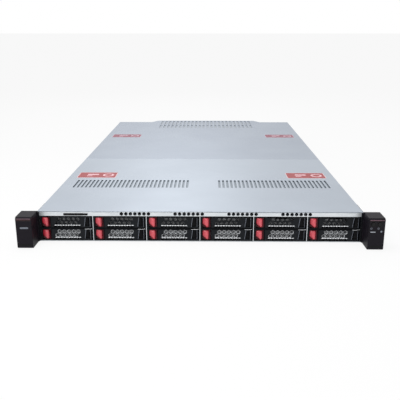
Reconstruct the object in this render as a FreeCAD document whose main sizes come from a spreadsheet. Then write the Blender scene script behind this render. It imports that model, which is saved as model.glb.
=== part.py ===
import FreeCAD, Part
import os
import re
import Sketcher

# One-unit rack server with twelve 2.5 inch drives in front.
# +X is to the right, +Y runs from the front to the rear, +Z is up. Each sub-part is drawn with its depth
# counted from the drive face, and its Placement moves it so that the whole object is centred on the origin.

document = FreeCAD.newDocument("RackServer")

# ------------------------------------------------------------------------------------------ driving sizes

driving_sizes = {
    # sheet metal of the chassis, and of its two lids with the guide strips under them
    "pan_sheet": "1.0",
    "lid_sheet": "1.0",
    "lid_gap": "0.3",
    "lid_lip": "4.5",
    "weld_gap": "0.05",
    "seam_gap": "0.5",
    "front_lid_length": "324",
    # drives, their carriers and the bays
    "drive_width": "69.85",
    "drive_height": "15",
    "drive_length": "100.45",
    "drive_clearance": "0.9",
    "drive_side_gap": "0.1",
    "carrier_rail": "0.6",
    "bezel_depth": "14",
    "bezel_wall": "0.65",
    "plug_length": "3.5",
    "plug_width": "33",
    "plug_height": "5",
    "bay_gap": "0.3",
    "row_gap": "0.8",
    "divider_sheet": "0.8",
    "roof_sheet": "0.6",
    "strip_gap": "0.5",
    "strip_height": "5.5",
    "strip_sheet": "1.0",
    # hexagonal vents of the top strip
    "strip_vent_across": "4.6",
    "strip_vent_pitch": "6.1",
    "strip_vent_start": "38.5",
    # carrier lever with its honeycomb
    "lever_depth": "5.2",
    "lever_face": "1.4",
    "lever_rim": "1.3",
    "lever_gap": "0.4",
    "cell_pitch": "6.4",
    "cell_web": "1.1",
    "cell_first": "22.6",
    "cell_level": "6.8",
    "notch_pitch": "5.2",
    "notch_web": "1.0",
    "notch_first": "20.8",
    "notch_rise": "2.1",
    "scoop_start": "60.8",
    "scoop_slope": "1.8",
    "scoop_width": "5.0",
    "scoop_depth": "3.6",
    # release button of a carrier
    "release_left": "2.6",
    "release_width": "11",
    "release_height": "14.2",
    "release_depth": "4",
    "release_crown": "0.8",
    "release_bevel": "1.6",
    "release_travel": "1.5",
    "release_gap": "0.3",
    # pull-out label tab over the first column
    "tab_start": "32.8",
    "tab_width": "25.6",
    "tab_length": "62",
    "tab_sheet": "1.2",
    "tab_lip": "2.6",
    "tab_lip_depth": "2.4",
    "tab_gap": "0.3",
    "tab_guide": "1.0",
    # backplane behind the drives
    "plug_gap": "0.3",
    "socket_length": "3",
    "backplane_sheet": "2.4",
    "backplane_edge": "1.5",
    "backplane_vent_width": "20",
    "backplane_vent_height": "18",
    # fans
    "vent_space": "48.4",
    "fan_length": "56",
    "fan_pitch": "72",
    "fan_wall": "1.5",
    "fan_tip_gap": "0.6",
    "fan_hub": "10",
    "fan_strut": "2.4",
    "fan_motor_length": "8",
    "fan_seat_gap": "0.3",
    "fan_rotor_length": "24",
    "fan_blade_sheet": "1.4",
    "fan_blade_chord": "15",
    "fan_blade_angle": "38",
    "bulkhead_sheet": "1.2",
    "fan_gap": "10",
    # main board and what stands on it
    "board_length": "529",
    "board_half": "206",
    "board_lift": "3",
    "board_sheet": "1.6",
    "board_step_gap": "9",
    "standoff_across": "5",
    "sink_offset": "108",
    "sink_width": "78",
    "sink_length": "108",
    "sink_base": "4",
    "sink_start": "62",
    "sink_fin": "0.8",
    "sink_fin_pitch": "7.4",
    "sink_gap": "1.5",
    "socket_frame": "2.4",
    "module_length": "133.35",
    "module_height": "31.25",
    "module_sheet": "3.2",
    "module_pitch": "7.6",
    "module_seat": "1.2",
    "module_gap": "4",
    "module_start": "50",
    "slot_width": "5.6",
    "slot_rise": "6",
    "slot_overhang": "4",
    # power supplies
    "supply_width": "71",
    "supply_length": "185",
    "supply_gap": "0.4",
    "supply_handle_reach": "20",
    "supply_handle_bar": "4",
    "supply_handle_height": "26",
    "supply_handle_offset": "6",
    "inlet_width": "27.6",
    "inlet_height": "20",
    "inlet_depth": "16",
    "inlet_wall": "3",
    "supply_vent_width": "4",
    "supply_vent_height": "30",
    "supply_vent_pitch": "6.6",
    # rear nose between the power supplies
    "tail_length": "24",
    "tail_width": "282",
    "tail_slope": "15",
    "lid_vent_width": "4.9",
    "lid_vent_pitch": "9.8",
    "lid_vent_front": "678",
    "lid_vent_short": "40",
    "lid_vent_long": "62",
    "lid_vent_web": "4",
    # vent slots of the front lid
    "slot_vent_width": "3",
    "slot_vent_length": "46",
    "slot_vent_pitch": "6.3",
    "slot_vent_depth": "121",
    "slot_vent_left": "20",
    "slot_vent_right": "27.5",
    # expansion slots and ports of the rear wall
    "card_slot_width": "112",
    "card_slot_height": "17",
    "card_slot_gap": "6",
    "card_length": "140",
    "card_vent_width": "26",
    "card_vent_pitch": "36",
    "card_vent_height": "11",
    "port_depth": "20",
    "port_pitch": "22",
    "port_width": "15",
    "port_height": "12.5",
    "port_wall": "1.0",
    "port_gap": "0.4",
    # rack ears
    "ear_width": "21.95",
    "ear_reach": "28",
    "ear_gap": "0.9",
    "ear_wall": "2",
    "ear_rise": "0.2",
    "ear_flange": "2",
    "ear_bevel": "2",
    "ear_leg_length": "40",
    "ear_leg_sheet": "1.5",
    "rack_hole_inset": "8.75",
    "rack_hole_low": "5.6",
    "rack_hole_spacing": "31.75",
    "rack_hole_radius": "3.3",
    "key_radius": "2.6",
    "key_inset": "6.6",
    "key_spacing": "8.3",
    "key_drop": "7.5",
    "key_gap": "0.3",
    "key_length": "5",
    "key_proud": "0.8",
    "key_rim": "0.9",
    "key_travel": "1",
    # studs that the slide rails hook on
    "stud_across": "4",
    "stud_head_across": "7",
    "stud_length": "1.4",
    "stud_head": "1.2",
    "stud_first": "70",
    "stud_pitch": "275",
    # allowance by which a cut runs past the face that it opens
    "cut_margin": "1",
}

# Places and sizes that follow from the driving sizes, in the order in which they build on each other.
layout_formulas = {
    "carrier_width": "drive_width + 2 * drive_side_gap + 2 * carrier_rail",
    "carrier_height": "drive_height + 2 * drive_clearance",
    "carrier_length": "bezel_depth + drive_side_gap + drive_length + plug_length",
    "bay_pitch": "carrier_width + 2 * bay_gap + divider_sheet",
    "inner_half": "(6 * bay_pitch + divider_sheet) / 2",
    "chassis_half": "inner_half + pan_sheet",
    "bay_left": "divider_sheet + bay_gap - inner_half",
    "row_base": "pan_sheet + bay_gap",
    "row_pitch": "carrier_height + row_gap",
    "strip_base": "row_base + row_pitch + carrier_height + strip_gap",
    "wall_top": "strip_base + strip_height",
    "lid_base": "wall_top + lid_gap",
    "chassis_height": "lid_base + lid_sheet",
    "backplane_front": "carrier_length + plug_gap + socket_length",
    "fan_front": "backplane_front + backplane_sheet + vent_space",
    "fan_size": "wall_top - pan_sheet - lid_gap",
    "fan_middle": "pan_sheet + fan_size / 2",
    "fan_bore": "fan_size / 2 - fan_wall",
    "board_front": "fan_front + fan_length + fan_gap",
    "board_rear": "board_front + board_length",
    "chassis_depth": "board_rear + pan_sheet",
    "rear_end": "chassis_depth + tail_length",
    "middle": "(rear_end - ear_reach - key_proud) / 2",
    "board_top": "pan_sheet + board_lift + board_sheet",
    "supply_height": "wall_top - pan_sheet - 2 * supply_gap",
    "supply_base": "pan_sheet + supply_gap",
    "supply_front": "chassis_depth - supply_length",
    "tail_right": "inner_half - supply_width - 2 * supply_gap",
    "tail_left": "tail_right - tail_width",
    "tail_middle": "tail_right - tail_width / 2",
    "lip_outer": "inner_half - lid_gap",
    "lip_inner": "lip_outer - lid_sheet",
    "cage_half": "lip_inner - lid_gap",
    "lever_left": "release_left + release_width + release_gap + bezel_wall + lever_gap",
    "lever_pivot_x": "carrier_width - bezel_wall - lever_gap - lever_depth / 2",
    "lever_pivot_y": "lever_depth / 2",
    "lever_base": "bezel_wall + lever_gap",
    "lever_top": "carrier_height - bezel_wall - lever_gap",
    "release_base": "(carrier_height - release_height) / 2",
    "ear_inner": "chassis_half + ear_gap",
    "ear_outer": "chassis_half + ear_width",
    "ear_top": "chassis_height + ear_rise",
    "key_level": "chassis_height - key_drop",
    "tab_base": "strip_base + roof_sheet + tab_gap",
    "rotor_depth": "fan_front + fan_length - fan_motor_length - fan_seat_gap - fan_rotor_length",
    "inner_bank": "sink_offset - sink_width / 2 - module_gap - slot_width / 2 - 5 * module_pitch",
    "outer_bank": "sink_offset + sink_width / 2 + module_gap + slot_width / 2",
    "card_slot_base": "wall_top - card_slot_height - pan_sheet",
}

sizes_sheet = document.addObject("Spreadsheet::Sheet", "Sizes")
for row, (alias, number) in enumerate(driving_sizes.items(), start=1):
    sizes_sheet.set(f"A{row}", number)
    sizes_sheet.setAlias(f"A{row}", alias)


def bound(text):
    """Write the aliases of a formula with the name of the sheet that holds each."""
    def with_sheet(word):
        if word[0] in driving_sizes:
            return "Sizes." + word[0]
        if word[0] in layout_formulas:
            return "Layout." + word[0]
        return word[0]
    return re.sub(r"[a-z][a-z_]+", with_sheet, text)


layout_sheet = document.addObject("Spreadsheet::Sheet", "Layout")
for row, (alias, formula) in enumerate(layout_formulas.items(), start=1):
    layout_sheet.set(f"A{row}", "=" + bound(formula).replace("Layout.", ""))
    layout_sheet.setAlias(f"A{row}", alias)
    document.recompute()

# ------------------------------------------------------------------------------------- drawing functions

sub_parts = []


def add_body(label, x="0", y="0 - middle", z="0"):
    """Start a sub-part whose own origin lies at x, y, z."""
    body = document.addObject("PartDesign::Body", label)
    body.Label = label
    body.AllowCompound = True
    place(body, x, y, z)
    sub_parts.append(body)
    return body


def place(item, x, y, z):
    item.setExpression("Placement.Base.x", bound(x))
    item.setExpression("Placement.Base.y", bound(y))
    item.setExpression("Placement.Base.z", bound(z))


def add_copy(label, master, x, y, z):
    """Add one more of a sub-part that is made already, at a place of its own."""
    copy = document.addObject("App::Link", label)
    copy.LinkedObject = master
    copy.Label = label
    place(copy, x, y, z)
    sub_parts.append(copy)


def origin_feature(body, role):
    return next(feature for feature in body.Origin.OriginFeatures if feature.Role == role)


def rectangle(left, right, low, high):
    return [(left, low), (right, low), (right, high), (left, high)]


def hexagon(centre_x, centre_y, across):
    """Hexagon with upright sides, given by the distance across them."""
    reach = f"({across}) / 2 / cos(30)"
    return [(f"{centre_x} + {reach} * cos({angle})", f"{centre_y} + {reach} * sin({angle})")
            for angle in range(30, 390, 60)]


def facets(centre_x, centre_y, radius, sides):
    """Regular outline of a small round piece, as a few flat sides."""
    return [(f"{centre_x} + {radius} * cos({turn * 360 / sides})",
             f"{centre_y} + {radius} * sin({turn * 360 / sides})") for turn in range(sides)]


def circle(centre_x, centre_y, radius):
    return (centre_x, centre_y, radius)


def hold(sketch, kind, element, point, formula):
    """Hold a point of the sketch at a distance from the sketch's origin, or a circle at its radius."""
    start = float(sketch.evalExpression(bound(formula)))
    if kind == "Radius":
        number = sketch.addConstraint(Sketcher.Constraint(kind, element, start))
    else:
        number = sketch.addConstraint(Sketcher.Constraint(kind, -1, 1, element, point, start))
    sketch.setExpression(f"Constraints[{number}]", bound(formula))


def draw_circle(sketch, centre_x, centre_y, radius):
    centre = FreeCAD.Vector(float(sketch.evalExpression(bound(centre_x))),
                            float(sketch.evalExpression(bound(centre_y))), 0)
    size = float(sketch.evalExpression(bound(radius)))
    element = sketch.addGeometry(Part.Circle(centre, FreeCAD.Vector(0, 0, 1), size), False)
    hold(sketch, "DistanceX", element, 3, centre_x)
    hold(sketch, "DistanceY", element, 3, centre_y)
    hold(sketch, "Radius", element, 0, radius)


def draw_polygon(sketch, corners):
    points = [FreeCAD.Vector(float(sketch.evalExpression(bound(x))),
                             float(sketch.evalExpression(bound(y))), 0) for x, y in corners]
    sides = [Part.LineSegment(a, b) for a, b in zip(points, points[1:] + points[:1])]
    elements = sketch.addGeometry(sides, False)
    for here, following in zip(elements, elements[1:] + elements[:1]):
        sketch.addConstraint(Sketcher.Constraint("Coincident", here, 2, following, 1))
    for element, (x, y) in zip(elements, corners):
        hold(sketch, "DistanceX", element, 1, x)
        hold(sketch, "DistanceY", element, 1, y)


def add_sketch(body, name, plane, level, outlines):
    """Sketch on an origin plane of the body, moved to a level along the plane's axis."""
    sketch = body.newObject("Sketcher::SketchObject", name)
    sketch.AttachmentSupport = [(origin_feature(body, plane), "")]
    sketch.MapMode = "FlatFace"
    away = "-1" if plane == "XZ_Plane" else "1"
    sketch.setExpression("AttachmentOffset.Base.z", bound(f"{away} * ({level})"))
    for outline in outlines:
        if isinstance(outline, tuple):
            draw_circle(sketch, *outline)
        else:
            draw_polygon(sketch, outline)
    return sketch


def pad(body, name, plane, start, end, *outlines):
    """Material between two levels. The pad of an XZ sketch grows towards the front."""
    level = end if plane == "XZ_Plane" else start
    feature = body.newObject("PartDesign::Pad", name)
    feature.Profile = add_sketch(body, name + "Outline", plane, level, outlines)
    feature.setExpression("Length", bound(f"({end}) - ({start})"))
    body.Tip = feature
    return feature


def pocket(body, name, plane, start, end, *outlines):
    """Cut between two levels. The pocket of an XZ sketch goes towards the rear."""
    level = start if plane == "XZ_Plane" else end
    feature = body.newObject("PartDesign::Pocket", name)
    feature.Profile = add_sketch(body, name + "Outline", plane, level, outlines)
    feature.setExpression("Length", bound(f"({end}) - ({start})"))
    body.Tip = feature
    return feature


def repeat(body, name, features, axis, spacing, count):
    """Repeat features along an axis of the body."""
    feature = body.newObject("PartDesign::LinearPattern", name)
    feature.Originals = features
    feature.Direction = (origin_feature(body, axis), [""])
    feature.Mode = "Spacing"
    feature.setExpression("Offset", bound(spacing))
    feature.Occurrences = count
    body.Tip = feature
    return feature


def mirror(body, name, features):
    """Repeat features on the other side of the middle plane."""
    feature = body.newObject("PartDesign::Mirrored", name)
    feature.Originals = features
    feature.MirrorPlane = (origin_feature(body, "YZ_Plane"), [""])
    body.Tip = feature
    return feature


# ------------------------------------------------------------------------------------------- the chassis

def build_chassis_pan():
    """Floor with a nose that stands out between the supplies, and side walls and rear panel welded to it."""
    body = add_body("chassis_pan")
    pad(body, "Block", "XY_Plane", "0", "wall_top", [
        ("0 - chassis_half", "0"),
        ("chassis_half", "0"),
        ("chassis_half", "chassis_depth"),
        ("tail_right", "chassis_depth"),
        ("tail_right - tail_slope", "rear_end"),
        ("tail_left + tail_slope", "rear_end"),
        ("tail_left", "chassis_depth"),
        ("0 - chassis_half", "chassis_depth")])
    pocket(body, "Inside", "XY_Plane", "pan_sheet", "wall_top + cut_margin", [
        ("0 - inner_half", "0 - cut_margin"),
        ("inner_half", "0 - cut_margin"),
        ("inner_half", "board_rear"),
        ("tail_right - pan_sheet", "board_rear"),
        ("tail_right - tail_slope - pan_sheet", "rear_end - pan_sheet"),
        ("tail_right - tail_slope - pan_sheet", "rear_end + cut_margin"),
        ("tail_left + tail_slope + pan_sheet", "rear_end + cut_margin"),
        ("tail_left + tail_slope + pan_sheet", "rear_end - pan_sheet"),
        ("tail_left + pan_sheet", "board_rear"),
        ("0 - inner_half", "board_rear")])
    mouth = pocket(body, "SupplyMouth", "XZ_Plane", "board_rear - cut_margin", "chassis_depth + cut_margin",
                   rectangle("tail_right", "inner_half", "pan_sheet", "wall_top + cut_margin"))
    mirror(body, "SupplyMouths", [mouth])
    seam = pocket(body, "WallSeam", "XY_Plane", "0 - cut_margin", "pan_sheet + cut_margin",
                  rectangle("inner_half - weld_gap", "inner_half", "0 - cut_margin", "chassis_depth + cut_margin"))
    mirror(body, "WallSeams", [seam])
    pad(body, "RearPanel", "XZ_Plane", "rear_end - pan_sheet", "rear_end",
        rectangle("tail_left + tail_slope + pan_sheet + weld_gap",
                  "tail_right - tail_slope - pan_sheet - weld_gap",
                  "pan_sheet + weld_gap", "wall_top"))
    slot = pocket(body, "CardSlot", "XZ_Plane", "rear_end - pan_sheet - cut_margin", "rear_end + cut_margin",
                  rectangle("tail_middle - card_slot_gap / 2 - card_slot_width",
                            "tail_middle - card_slot_gap / 2",
                            "card_slot_base", "card_slot_base + card_slot_height"))
    repeat(body, "CardSlots", [slot], "X_Axis", "card_slot_width + card_slot_gap", 2)
    port = pocket(body, "Port", "XZ_Plane", "rear_end - pan_sheet - cut_margin", "rear_end + cut_margin",
                  rectangle("tail_middle - 2.5 * port_pitch - port_width / 2 - port_gap",
                            "tail_middle - 2.5 * port_pitch + port_width / 2 + port_gap",
                            "board_top - port_gap", "board_top + port_height + port_gap"))
    repeat(body, "Ports", [port], "X_Axis", "port_pitch", 6)


def build_front_cover():
    """Front lid: flat sheet with two groups of vent slots and a guide strip welded under each side."""
    body = add_body("front_cover")
    pad(body, "Sheet", "XY_Plane", "lid_base", "chassis_height",
        rectangle("0 - chassis_half", "chassis_half", "0", "front_lid_length"))
    lip = pad(body, "Lip", "XY_Plane", "lid_base - lid_lip", "lid_base - weld_gap",
              rectangle("lip_inner", "lip_outer", "strip_sheet + lid_gap", "front_lid_length"))
    mirror(body, "Lips", [lip])
    first = "0 - slot_vent_left - 28 * slot_vent_pitch"
    for side, start, count in (("Left", f"{first} - slot_vent_width", 29), ("Right", "slot_vent_right", 28)):
        slot = pocket(body, side + "Slot", "XY_Plane", "lid_base - cut_margin", "chassis_height + cut_margin",
                      rectangle(start, f"{start} + slot_vent_width",
                                "slot_vent_depth", "slot_vent_depth + slot_vent_length"))
        repeat(body, side + "Slots", [slot], "X_Axis", "slot_vent_pitch", count)
    return body


def build_rear_cover():
    """Rear lid with guide strips: it follows the nose of the pan and is vented over the expansion cards."""
    body = add_body("rear_cover")
    pad(body, "Sheet", "XY_Plane", "lid_base", "chassis_height", [
        ("0 - chassis_half", "front_lid_length + seam_gap"),
        ("chassis_half", "front_lid_length + seam_gap"),
        ("chassis_half", "chassis_depth"),
        ("tail_right", "chassis_depth"),
        ("tail_right - tail_slope", "rear_end"),
        ("tail_left + tail_slope", "rear_end"),
        ("tail_left", "chassis_depth"),
        ("0 - chassis_half", "chassis_depth")])
    lip = pad(body, "Lip", "XY_Plane", "lid_base - lid_lip", "lid_base - weld_gap",
              rectangle("lip_inner", "lip_outer", "front_lid_length + seam_gap", "supply_front - supply_gap"))
    mirror(body, "Lips", [lip])
    first = "tail_middle - 11.5 * lid_vent_pitch"
    second = "lid_vent_front + lid_vent_short + lid_vent_web"
    vent = pocket(body, "Vent", "XY_Plane", "lid_base - cut_margin", "chassis_height + cut_margin",
                  rectangle(f"{first} - lid_vent_width / 2", f"{first} + lid_vent_width / 2",
                            "lid_vent_front", "lid_vent_front + lid_vent_short"),
                  rectangle(f"{first} - lid_vent_width / 2", f"{first} + lid_vent_width / 2",
                            second, f"{second} + lid_vent_long"))
    repeat(body, "Vents", [vent], "X_Axis", "lid_vent_pitch", 24)
    return body


def build_drive_cage():
    """Upright dividers between the columns, a roof over the bays and the vented strip in front."""
    body = add_body("drive_cage")
    pad(body, "Roof", "XY_Plane", "strip_base", "strip_base + roof_sheet",
        rectangle("0 - inner_half", "inner_half", "0", "backplane_front"))
    divider = pad(body, "Divider", "XY_Plane", "pan_sheet", "strip_base - weld_gap",
                  rectangle("0 - inner_half", "divider_sheet - inner_half", "0", "backplane_front"))
    repeat(body, "Dividers", [divider], "X_Axis", "bay_pitch", 7)
    pad(body, "Strip", "XZ_Plane", "0", "strip_sheet",
        rectangle("0 - inner_half", "inner_half", "strip_base", "wall_top"))
    cell = pocket(body, "StripVent", "XZ_Plane", "0 - cut_margin", "strip_sheet + cut_margin",
                  hexagon("bay_left + bay_pitch + strip_vent_start",
                          "(strip_base + roof_sheet + wall_top) / 2", "strip_vent_across"))
    cells = repeat(body, "StripVents", [cell], "X_Axis", "strip_vent_pitch", 6)
    cells.Direction2 = (origin_feature(body, "X_Axis"), [""])
    cells.Mode2 = "Spacing"
    cells.setExpression("Offset2", bound("bay_pitch"))
    cells.Occurrences2 = 5
    end = pocket(body, "StripVentEnd", "XZ_Plane", "0 - cut_margin", "strip_sheet + cut_margin",
                 hexagon("bay_left + bay_pitch + strip_vent_start + 6 * strip_vent_pitch",
                         "(strip_base + roof_sheet + wall_top) / 2", "strip_vent_across"))
    repeat(body, "StripVentEnds", [end], "X_Axis", "bay_pitch", 4)
    return body


def build_label_tab(cage):
    """Slot and guides for the label tab in the cage, and the tab itself."""
    left = "bay_left + tab_start"
    pocket(cage, "TabMouth", "XZ_Plane", "0 - cut_margin", "strip_sheet + cut_margin",
           rectangle(f"{left} - tab_gap", f"{left} + tab_width + tab_gap",
                     "strip_base + roof_sheet", "tab_base + tab_lip + tab_gap"))
    pad(cage, "TabGuides", "XY_Plane", "strip_base + roof_sheet", "tab_base + tab_lip",
        rectangle(f"{left} - tab_gap - tab_guide", f"{left} - tab_gap", "strip_sheet", "tab_length"),
        rectangle(f"{left} + tab_width + tab_gap", f"{left} + tab_width + tab_gap + tab_guide",
                  "strip_sheet", "tab_length"))
    tab = add_body("label_tab", x=left, z="tab_base")
    pad(tab, "Sheet", "XY_Plane", "0", "tab_sheet", rectangle("0", "tab_width", "0", "tab_length"))
    pad(tab, "Lip", "XY_Plane", "tab_sheet", "tab_lip", rectangle("0", "tab_width", "0", "tab_lip_depth"))


# -------------------------------------------------------------------------------------------- the drives

def build_drive_carrier(label):
    """Moulded bezel with seats for the lever and the button, two side rails, and the drive between them."""
    body = add_body(label, x="bay_left", z="row_base")
    pad(body, "Bezel", "XY_Plane", "0", "carrier_height",
        rectangle("0", "carrier_width", "0", "bezel_depth"))
    pocket(body, "ReleaseSeat", "XZ_Plane", "0 - cut_margin", "release_depth + release_travel + release_gap",
           rectangle("release_left - release_gap", "release_left + release_width + release_gap",
                     "release_base - release_gap", "release_base + release_height + release_gap"))
    pocket(body, "LeverSeat", "XY_Plane", "bezel_wall", "carrier_height - bezel_wall", [
        ("lever_left - lever_gap", "0 - cut_margin"),
        ("carrier_width - bezel_wall", "0 - cut_margin"),
        ("carrier_width - bezel_wall", "lever_depth + lever_gap"),
        ("scoop_start - lever_rim", "lever_depth + lever_gap"),
        ("scoop_start - lever_rim", "bezel_depth + cut_margin"),
        ("lever_left - lever_gap", "bezel_depth + cut_margin")])
    pad(body, "Rails", "XY_Plane", "drive_clearance", "drive_clearance + drive_height",
        rectangle("0", "carrier_rail", "bezel_depth", "carrier_length - plug_length"),
        rectangle("carrier_width - carrier_rail", "carrier_width",
                  "bezel_depth", "carrier_length - plug_length"))
    pad(body, "Drive", "XY_Plane", "drive_clearance", "drive_clearance + drive_height",
        rectangle("carrier_rail + drive_side_gap", "carrier_width - carrier_rail - drive_side_gap",
                  "bezel_depth + drive_side_gap", "carrier_length - plug_length"))
    pad(body, "Plug", "XY_Plane", "drive_clearance", "drive_clearance + plug_height",
        rectangle("carrier_rail + release_left", "carrier_rail + release_left + plug_width",
                  "carrier_length - plug_length", "carrier_length"))
    return body


def build_carrier_lever(label):
    """Handle of a carrier: a face with a honeycomb and a finger scoop, hinged at its right end."""
    body = add_body(label, x="bay_left", z="row_base")
    bevel = "lever_pivot_y * (1 - tan(22.5))"
    right = "lever_pivot_x + lever_pivot_y"
    pad(body, "Block", "XY_Plane", "lever_base", "lever_top", [
        ("lever_left", "0"),
        (f"{right} - {bevel}", "0"),
        (right, bevel),
        (right, f"lever_depth - {bevel}"),
        (f"{right} - {bevel}", "lever_depth"),
        ("scoop_start - lever_rim", "lever_depth"),
        ("scoop_start - lever_rim", "lever_face"),
        ("lever_left + lever_rim", "lever_face"),
        ("lever_left + lever_rim", "lever_depth"),
        ("lever_left", "lever_depth")])
    pocket(body, "Scoop", "XZ_Plane", "0 - cut_margin", "scoop_depth", [
        ("scoop_start", "lever_base + lever_rim"),
        ("scoop_start + scoop_width + scoop_slope", "lever_base + lever_rim"),
        ("scoop_start + scoop_width + scoop_slope", "lever_top - lever_rim / 2"),
        ("scoop_start + scoop_slope", "lever_top - lever_rim / 2")])
    across = "cell_pitch - cell_web"
    cells = pocket(body, "Cell", "XZ_Plane", "0 - cut_margin", "lever_face + cut_margin",
                   hexagon("cell_first", "cell_level", across),
                   hexagon("cell_first + cell_pitch / 2", "cell_level + cell_pitch * cos(30)", across))
    repeat(body, "Cells", [cells], "X_Axis", "cell_pitch", 5)
    half = "(notch_pitch - notch_web) / 2"
    notch = pocket(body, "Notch", "XZ_Plane", "0 - cut_margin", "lever_face + cut_margin", [
        (f"notch_first - 1.4 * {half}", "lever_base - cut_margin"),
        (f"notch_first + 1.4 * {half}", "lever_base - cut_margin"),
        (f"notch_first + {half} / 2", "lever_base + notch_rise"),
        (f"notch_first - {half} / 2", "lever_base + notch_rise")])
    repeat(body, "Notches", [notch], "X_Axis", "notch_pitch", 7)
    return body


def build_release_button(label):
    """Release button: its face is crowned by bevels along its sides."""
    body = add_body(label, x="bay_left", z="row_base")
    right = "release_left + release_width"
    pad(body, "Key", "XY_Plane", "release_base", "release_base + release_height", [
        ("release_left", "release_crown"),
        ("release_left + release_bevel", "0 - release_crown"),
        (f"{right} - release_bevel", "0 - release_crown"),
        (right, "release_crown"),
        (right, "release_depth"),
        ("release_left", "release_depth")])
    return body


def build_drives():
    """Six columns of two carriers. The first of each kind is drawn, and the others are copies of it."""
    kinds = [("drive_carrier", build_drive_carrier), ("carrier_lever", build_carrier_lever),
             ("release_button", build_release_button)]
    for name, build in kinds:
        master = build(f"{name}_01")
        for number in range(1, 12):
            column, level = number // 2, number % 2
            add_copy(f"{name}_{number + 1:02d}", master, f"bay_left + {column} * bay_pitch", "0 - middle",
                     f"row_base + {level} * row_pitch")


def build_backplane():
    """Board behind the drives, with one socket for each drive and vents between them."""
    body = add_body("backplane")
    pad(body, "Board", "XZ_Plane", "backplane_front", "backplane_front + backplane_sheet",
        rectangle("backplane_edge - inner_half", "inner_half - backplane_edge", "pan_sheet", "strip_base"))
    low = "row_base + drive_clearance"
    left = "bay_left + carrier_rail + release_left"
    socket = pad(body, "Socket", "XZ_Plane", "backplane_front - socket_length", "backplane_front",
                 rectangle(left, f"{left} + plug_width", low, f"{low} + plug_height"),
                 rectangle(left, f"{left} + plug_width", f"{low} + row_pitch",
                           f"{low} + row_pitch + plug_height"))
    repeat(body, "Sockets", [socket], "X_Axis", "bay_pitch", 6)
    vent_left = "bay_left + carrier_width - backplane_vent_width - release_left"
    vent = pocket(body, "Vent", "XZ_Plane", "backplane_front - cut_margin",
                  "backplane_front + backplane_sheet + cut_margin",
                  rectangle(vent_left, f"{vent_left} + backplane_vent_width",
                            "strip_base / 2 - backplane_vent_height / 2",
                            "strip_base / 2 + backplane_vent_height / 2"))
    repeat(body, "Vents", [vent], "X_Axis", "bay_pitch", 6)


# ---------------------------------------------------------------------------------------------- the fans

def build_fan_frames():
    """Bulkhead across the chassis and six square fan frames, each with a motor seat on a strut."""
    body = add_body("fan_frames")
    centre = "0 - 2.5 * fan_pitch"
    low = "pan_sheet"
    high = "pan_sheet + fan_size"
    rear = "fan_front + fan_length"
    frame = pad(body, "Frame", "XZ_Plane", "fan_front", rear,
                rectangle(f"{centre} - fan_size / 2", f"{centre} + fan_size / 2", low, high),
                facets(centre, "fan_middle", "fan_bore", 10))
    strut = pad(body, "Strut", "XZ_Plane", f"{rear} - fan_strut", rear,
                rectangle(f"{centre} - fan_bore", f"{centre} + fan_bore",
                          "fan_middle - fan_strut / 2", "fan_middle + fan_strut / 2"))
    seat = pad(body, "MotorSeat", "XZ_Plane", f"{rear} - fan_motor_length", rear,
               hexagon(centre, "fan_middle", "1.8 * fan_hub"))
    repeat(body, "Frames", [frame, strut, seat], "X_Axis", "fan_pitch", 6)
    fill = pad(body, "Bulkhead", "XZ_Plane", "fan_front + fan_length / 2",
               "fan_front + fan_length / 2 + bulkhead_sheet",
               rectangle(f"{centre} + fan_size / 2", f"{centre} + fan_pitch - fan_size / 2", low, high))
    repeat(body, "Bulkheads", [fill], "X_Axis", "fan_pitch", 5)
    pad(body, "BulkheadEnds", "XZ_Plane", "fan_front + fan_length / 2",
        "fan_front + fan_length / 2 + bulkhead_sheet",
        rectangle("0 - cage_half", f"{centre} - fan_size / 2", low, high),
        rectangle("2.5 * fan_pitch + fan_size / 2", "cage_half", low, high))


def build_fan_rotor(label):
    """Fan wheel about its own origin: a hub with five pitched blades."""
    body = add_body(label, x="0 - 2.5 * fan_pitch", y="rotor_depth - middle", z="fan_middle")
    pad(body, "Hub", "XZ_Plane", "0", "fan_rotor_length", facets("0", "0", "fan_hub", 10))
    reach = "fan_bore - fan_tip_gap"
    half = "fan_blade_chord / 2"
    thick = "fan_blade_sheet / 2"
    along = "sin(fan_blade_angle)"
    across = "cos(fan_blade_angle)"
    middle = "fan_rotor_length / 2"
    blade = pad(body, "Blade", "XY_Plane", "fan_hub / 2", f"{reach} - fan_blade_sheet", [
        (f"0 - {half} * {along} - {thick} * {across}", f"{middle} - {half} * {across} + {thick} * {along}"),
        (f"0 - {half} * {along} + {thick} * {across}", f"{middle} - {half} * {across} - {thick} * {along}"),
        (f"{half} * {along} + {thick} * {across}", f"{middle} + {half} * {across} - {thick} * {along}"),
        (f"{half} * {along} - {thick} * {across}", f"{middle} + {half} * {across} + {thick} * {along}")])
    wheel = body.newObject("PartDesign::PolarPattern", "Blades")
    wheel.Originals = [blade]
    wheel.Axis = (origin_feature(body, "Y_Axis"), [""])
    wheel.Occurrences = 5
    body.Tip = wheel
    return body


def build_fan_rotors():
    master = build_fan_rotor("fan_rotor_1")
    for number in range(1, 6):
        add_copy(f"fan_rotor_{number + 1}", master, f"({number} - 2.5) * fan_pitch",
                 "rotor_depth - middle", "fan_middle")


# --------------------------------------------------------------------------------------------- the board

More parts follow.
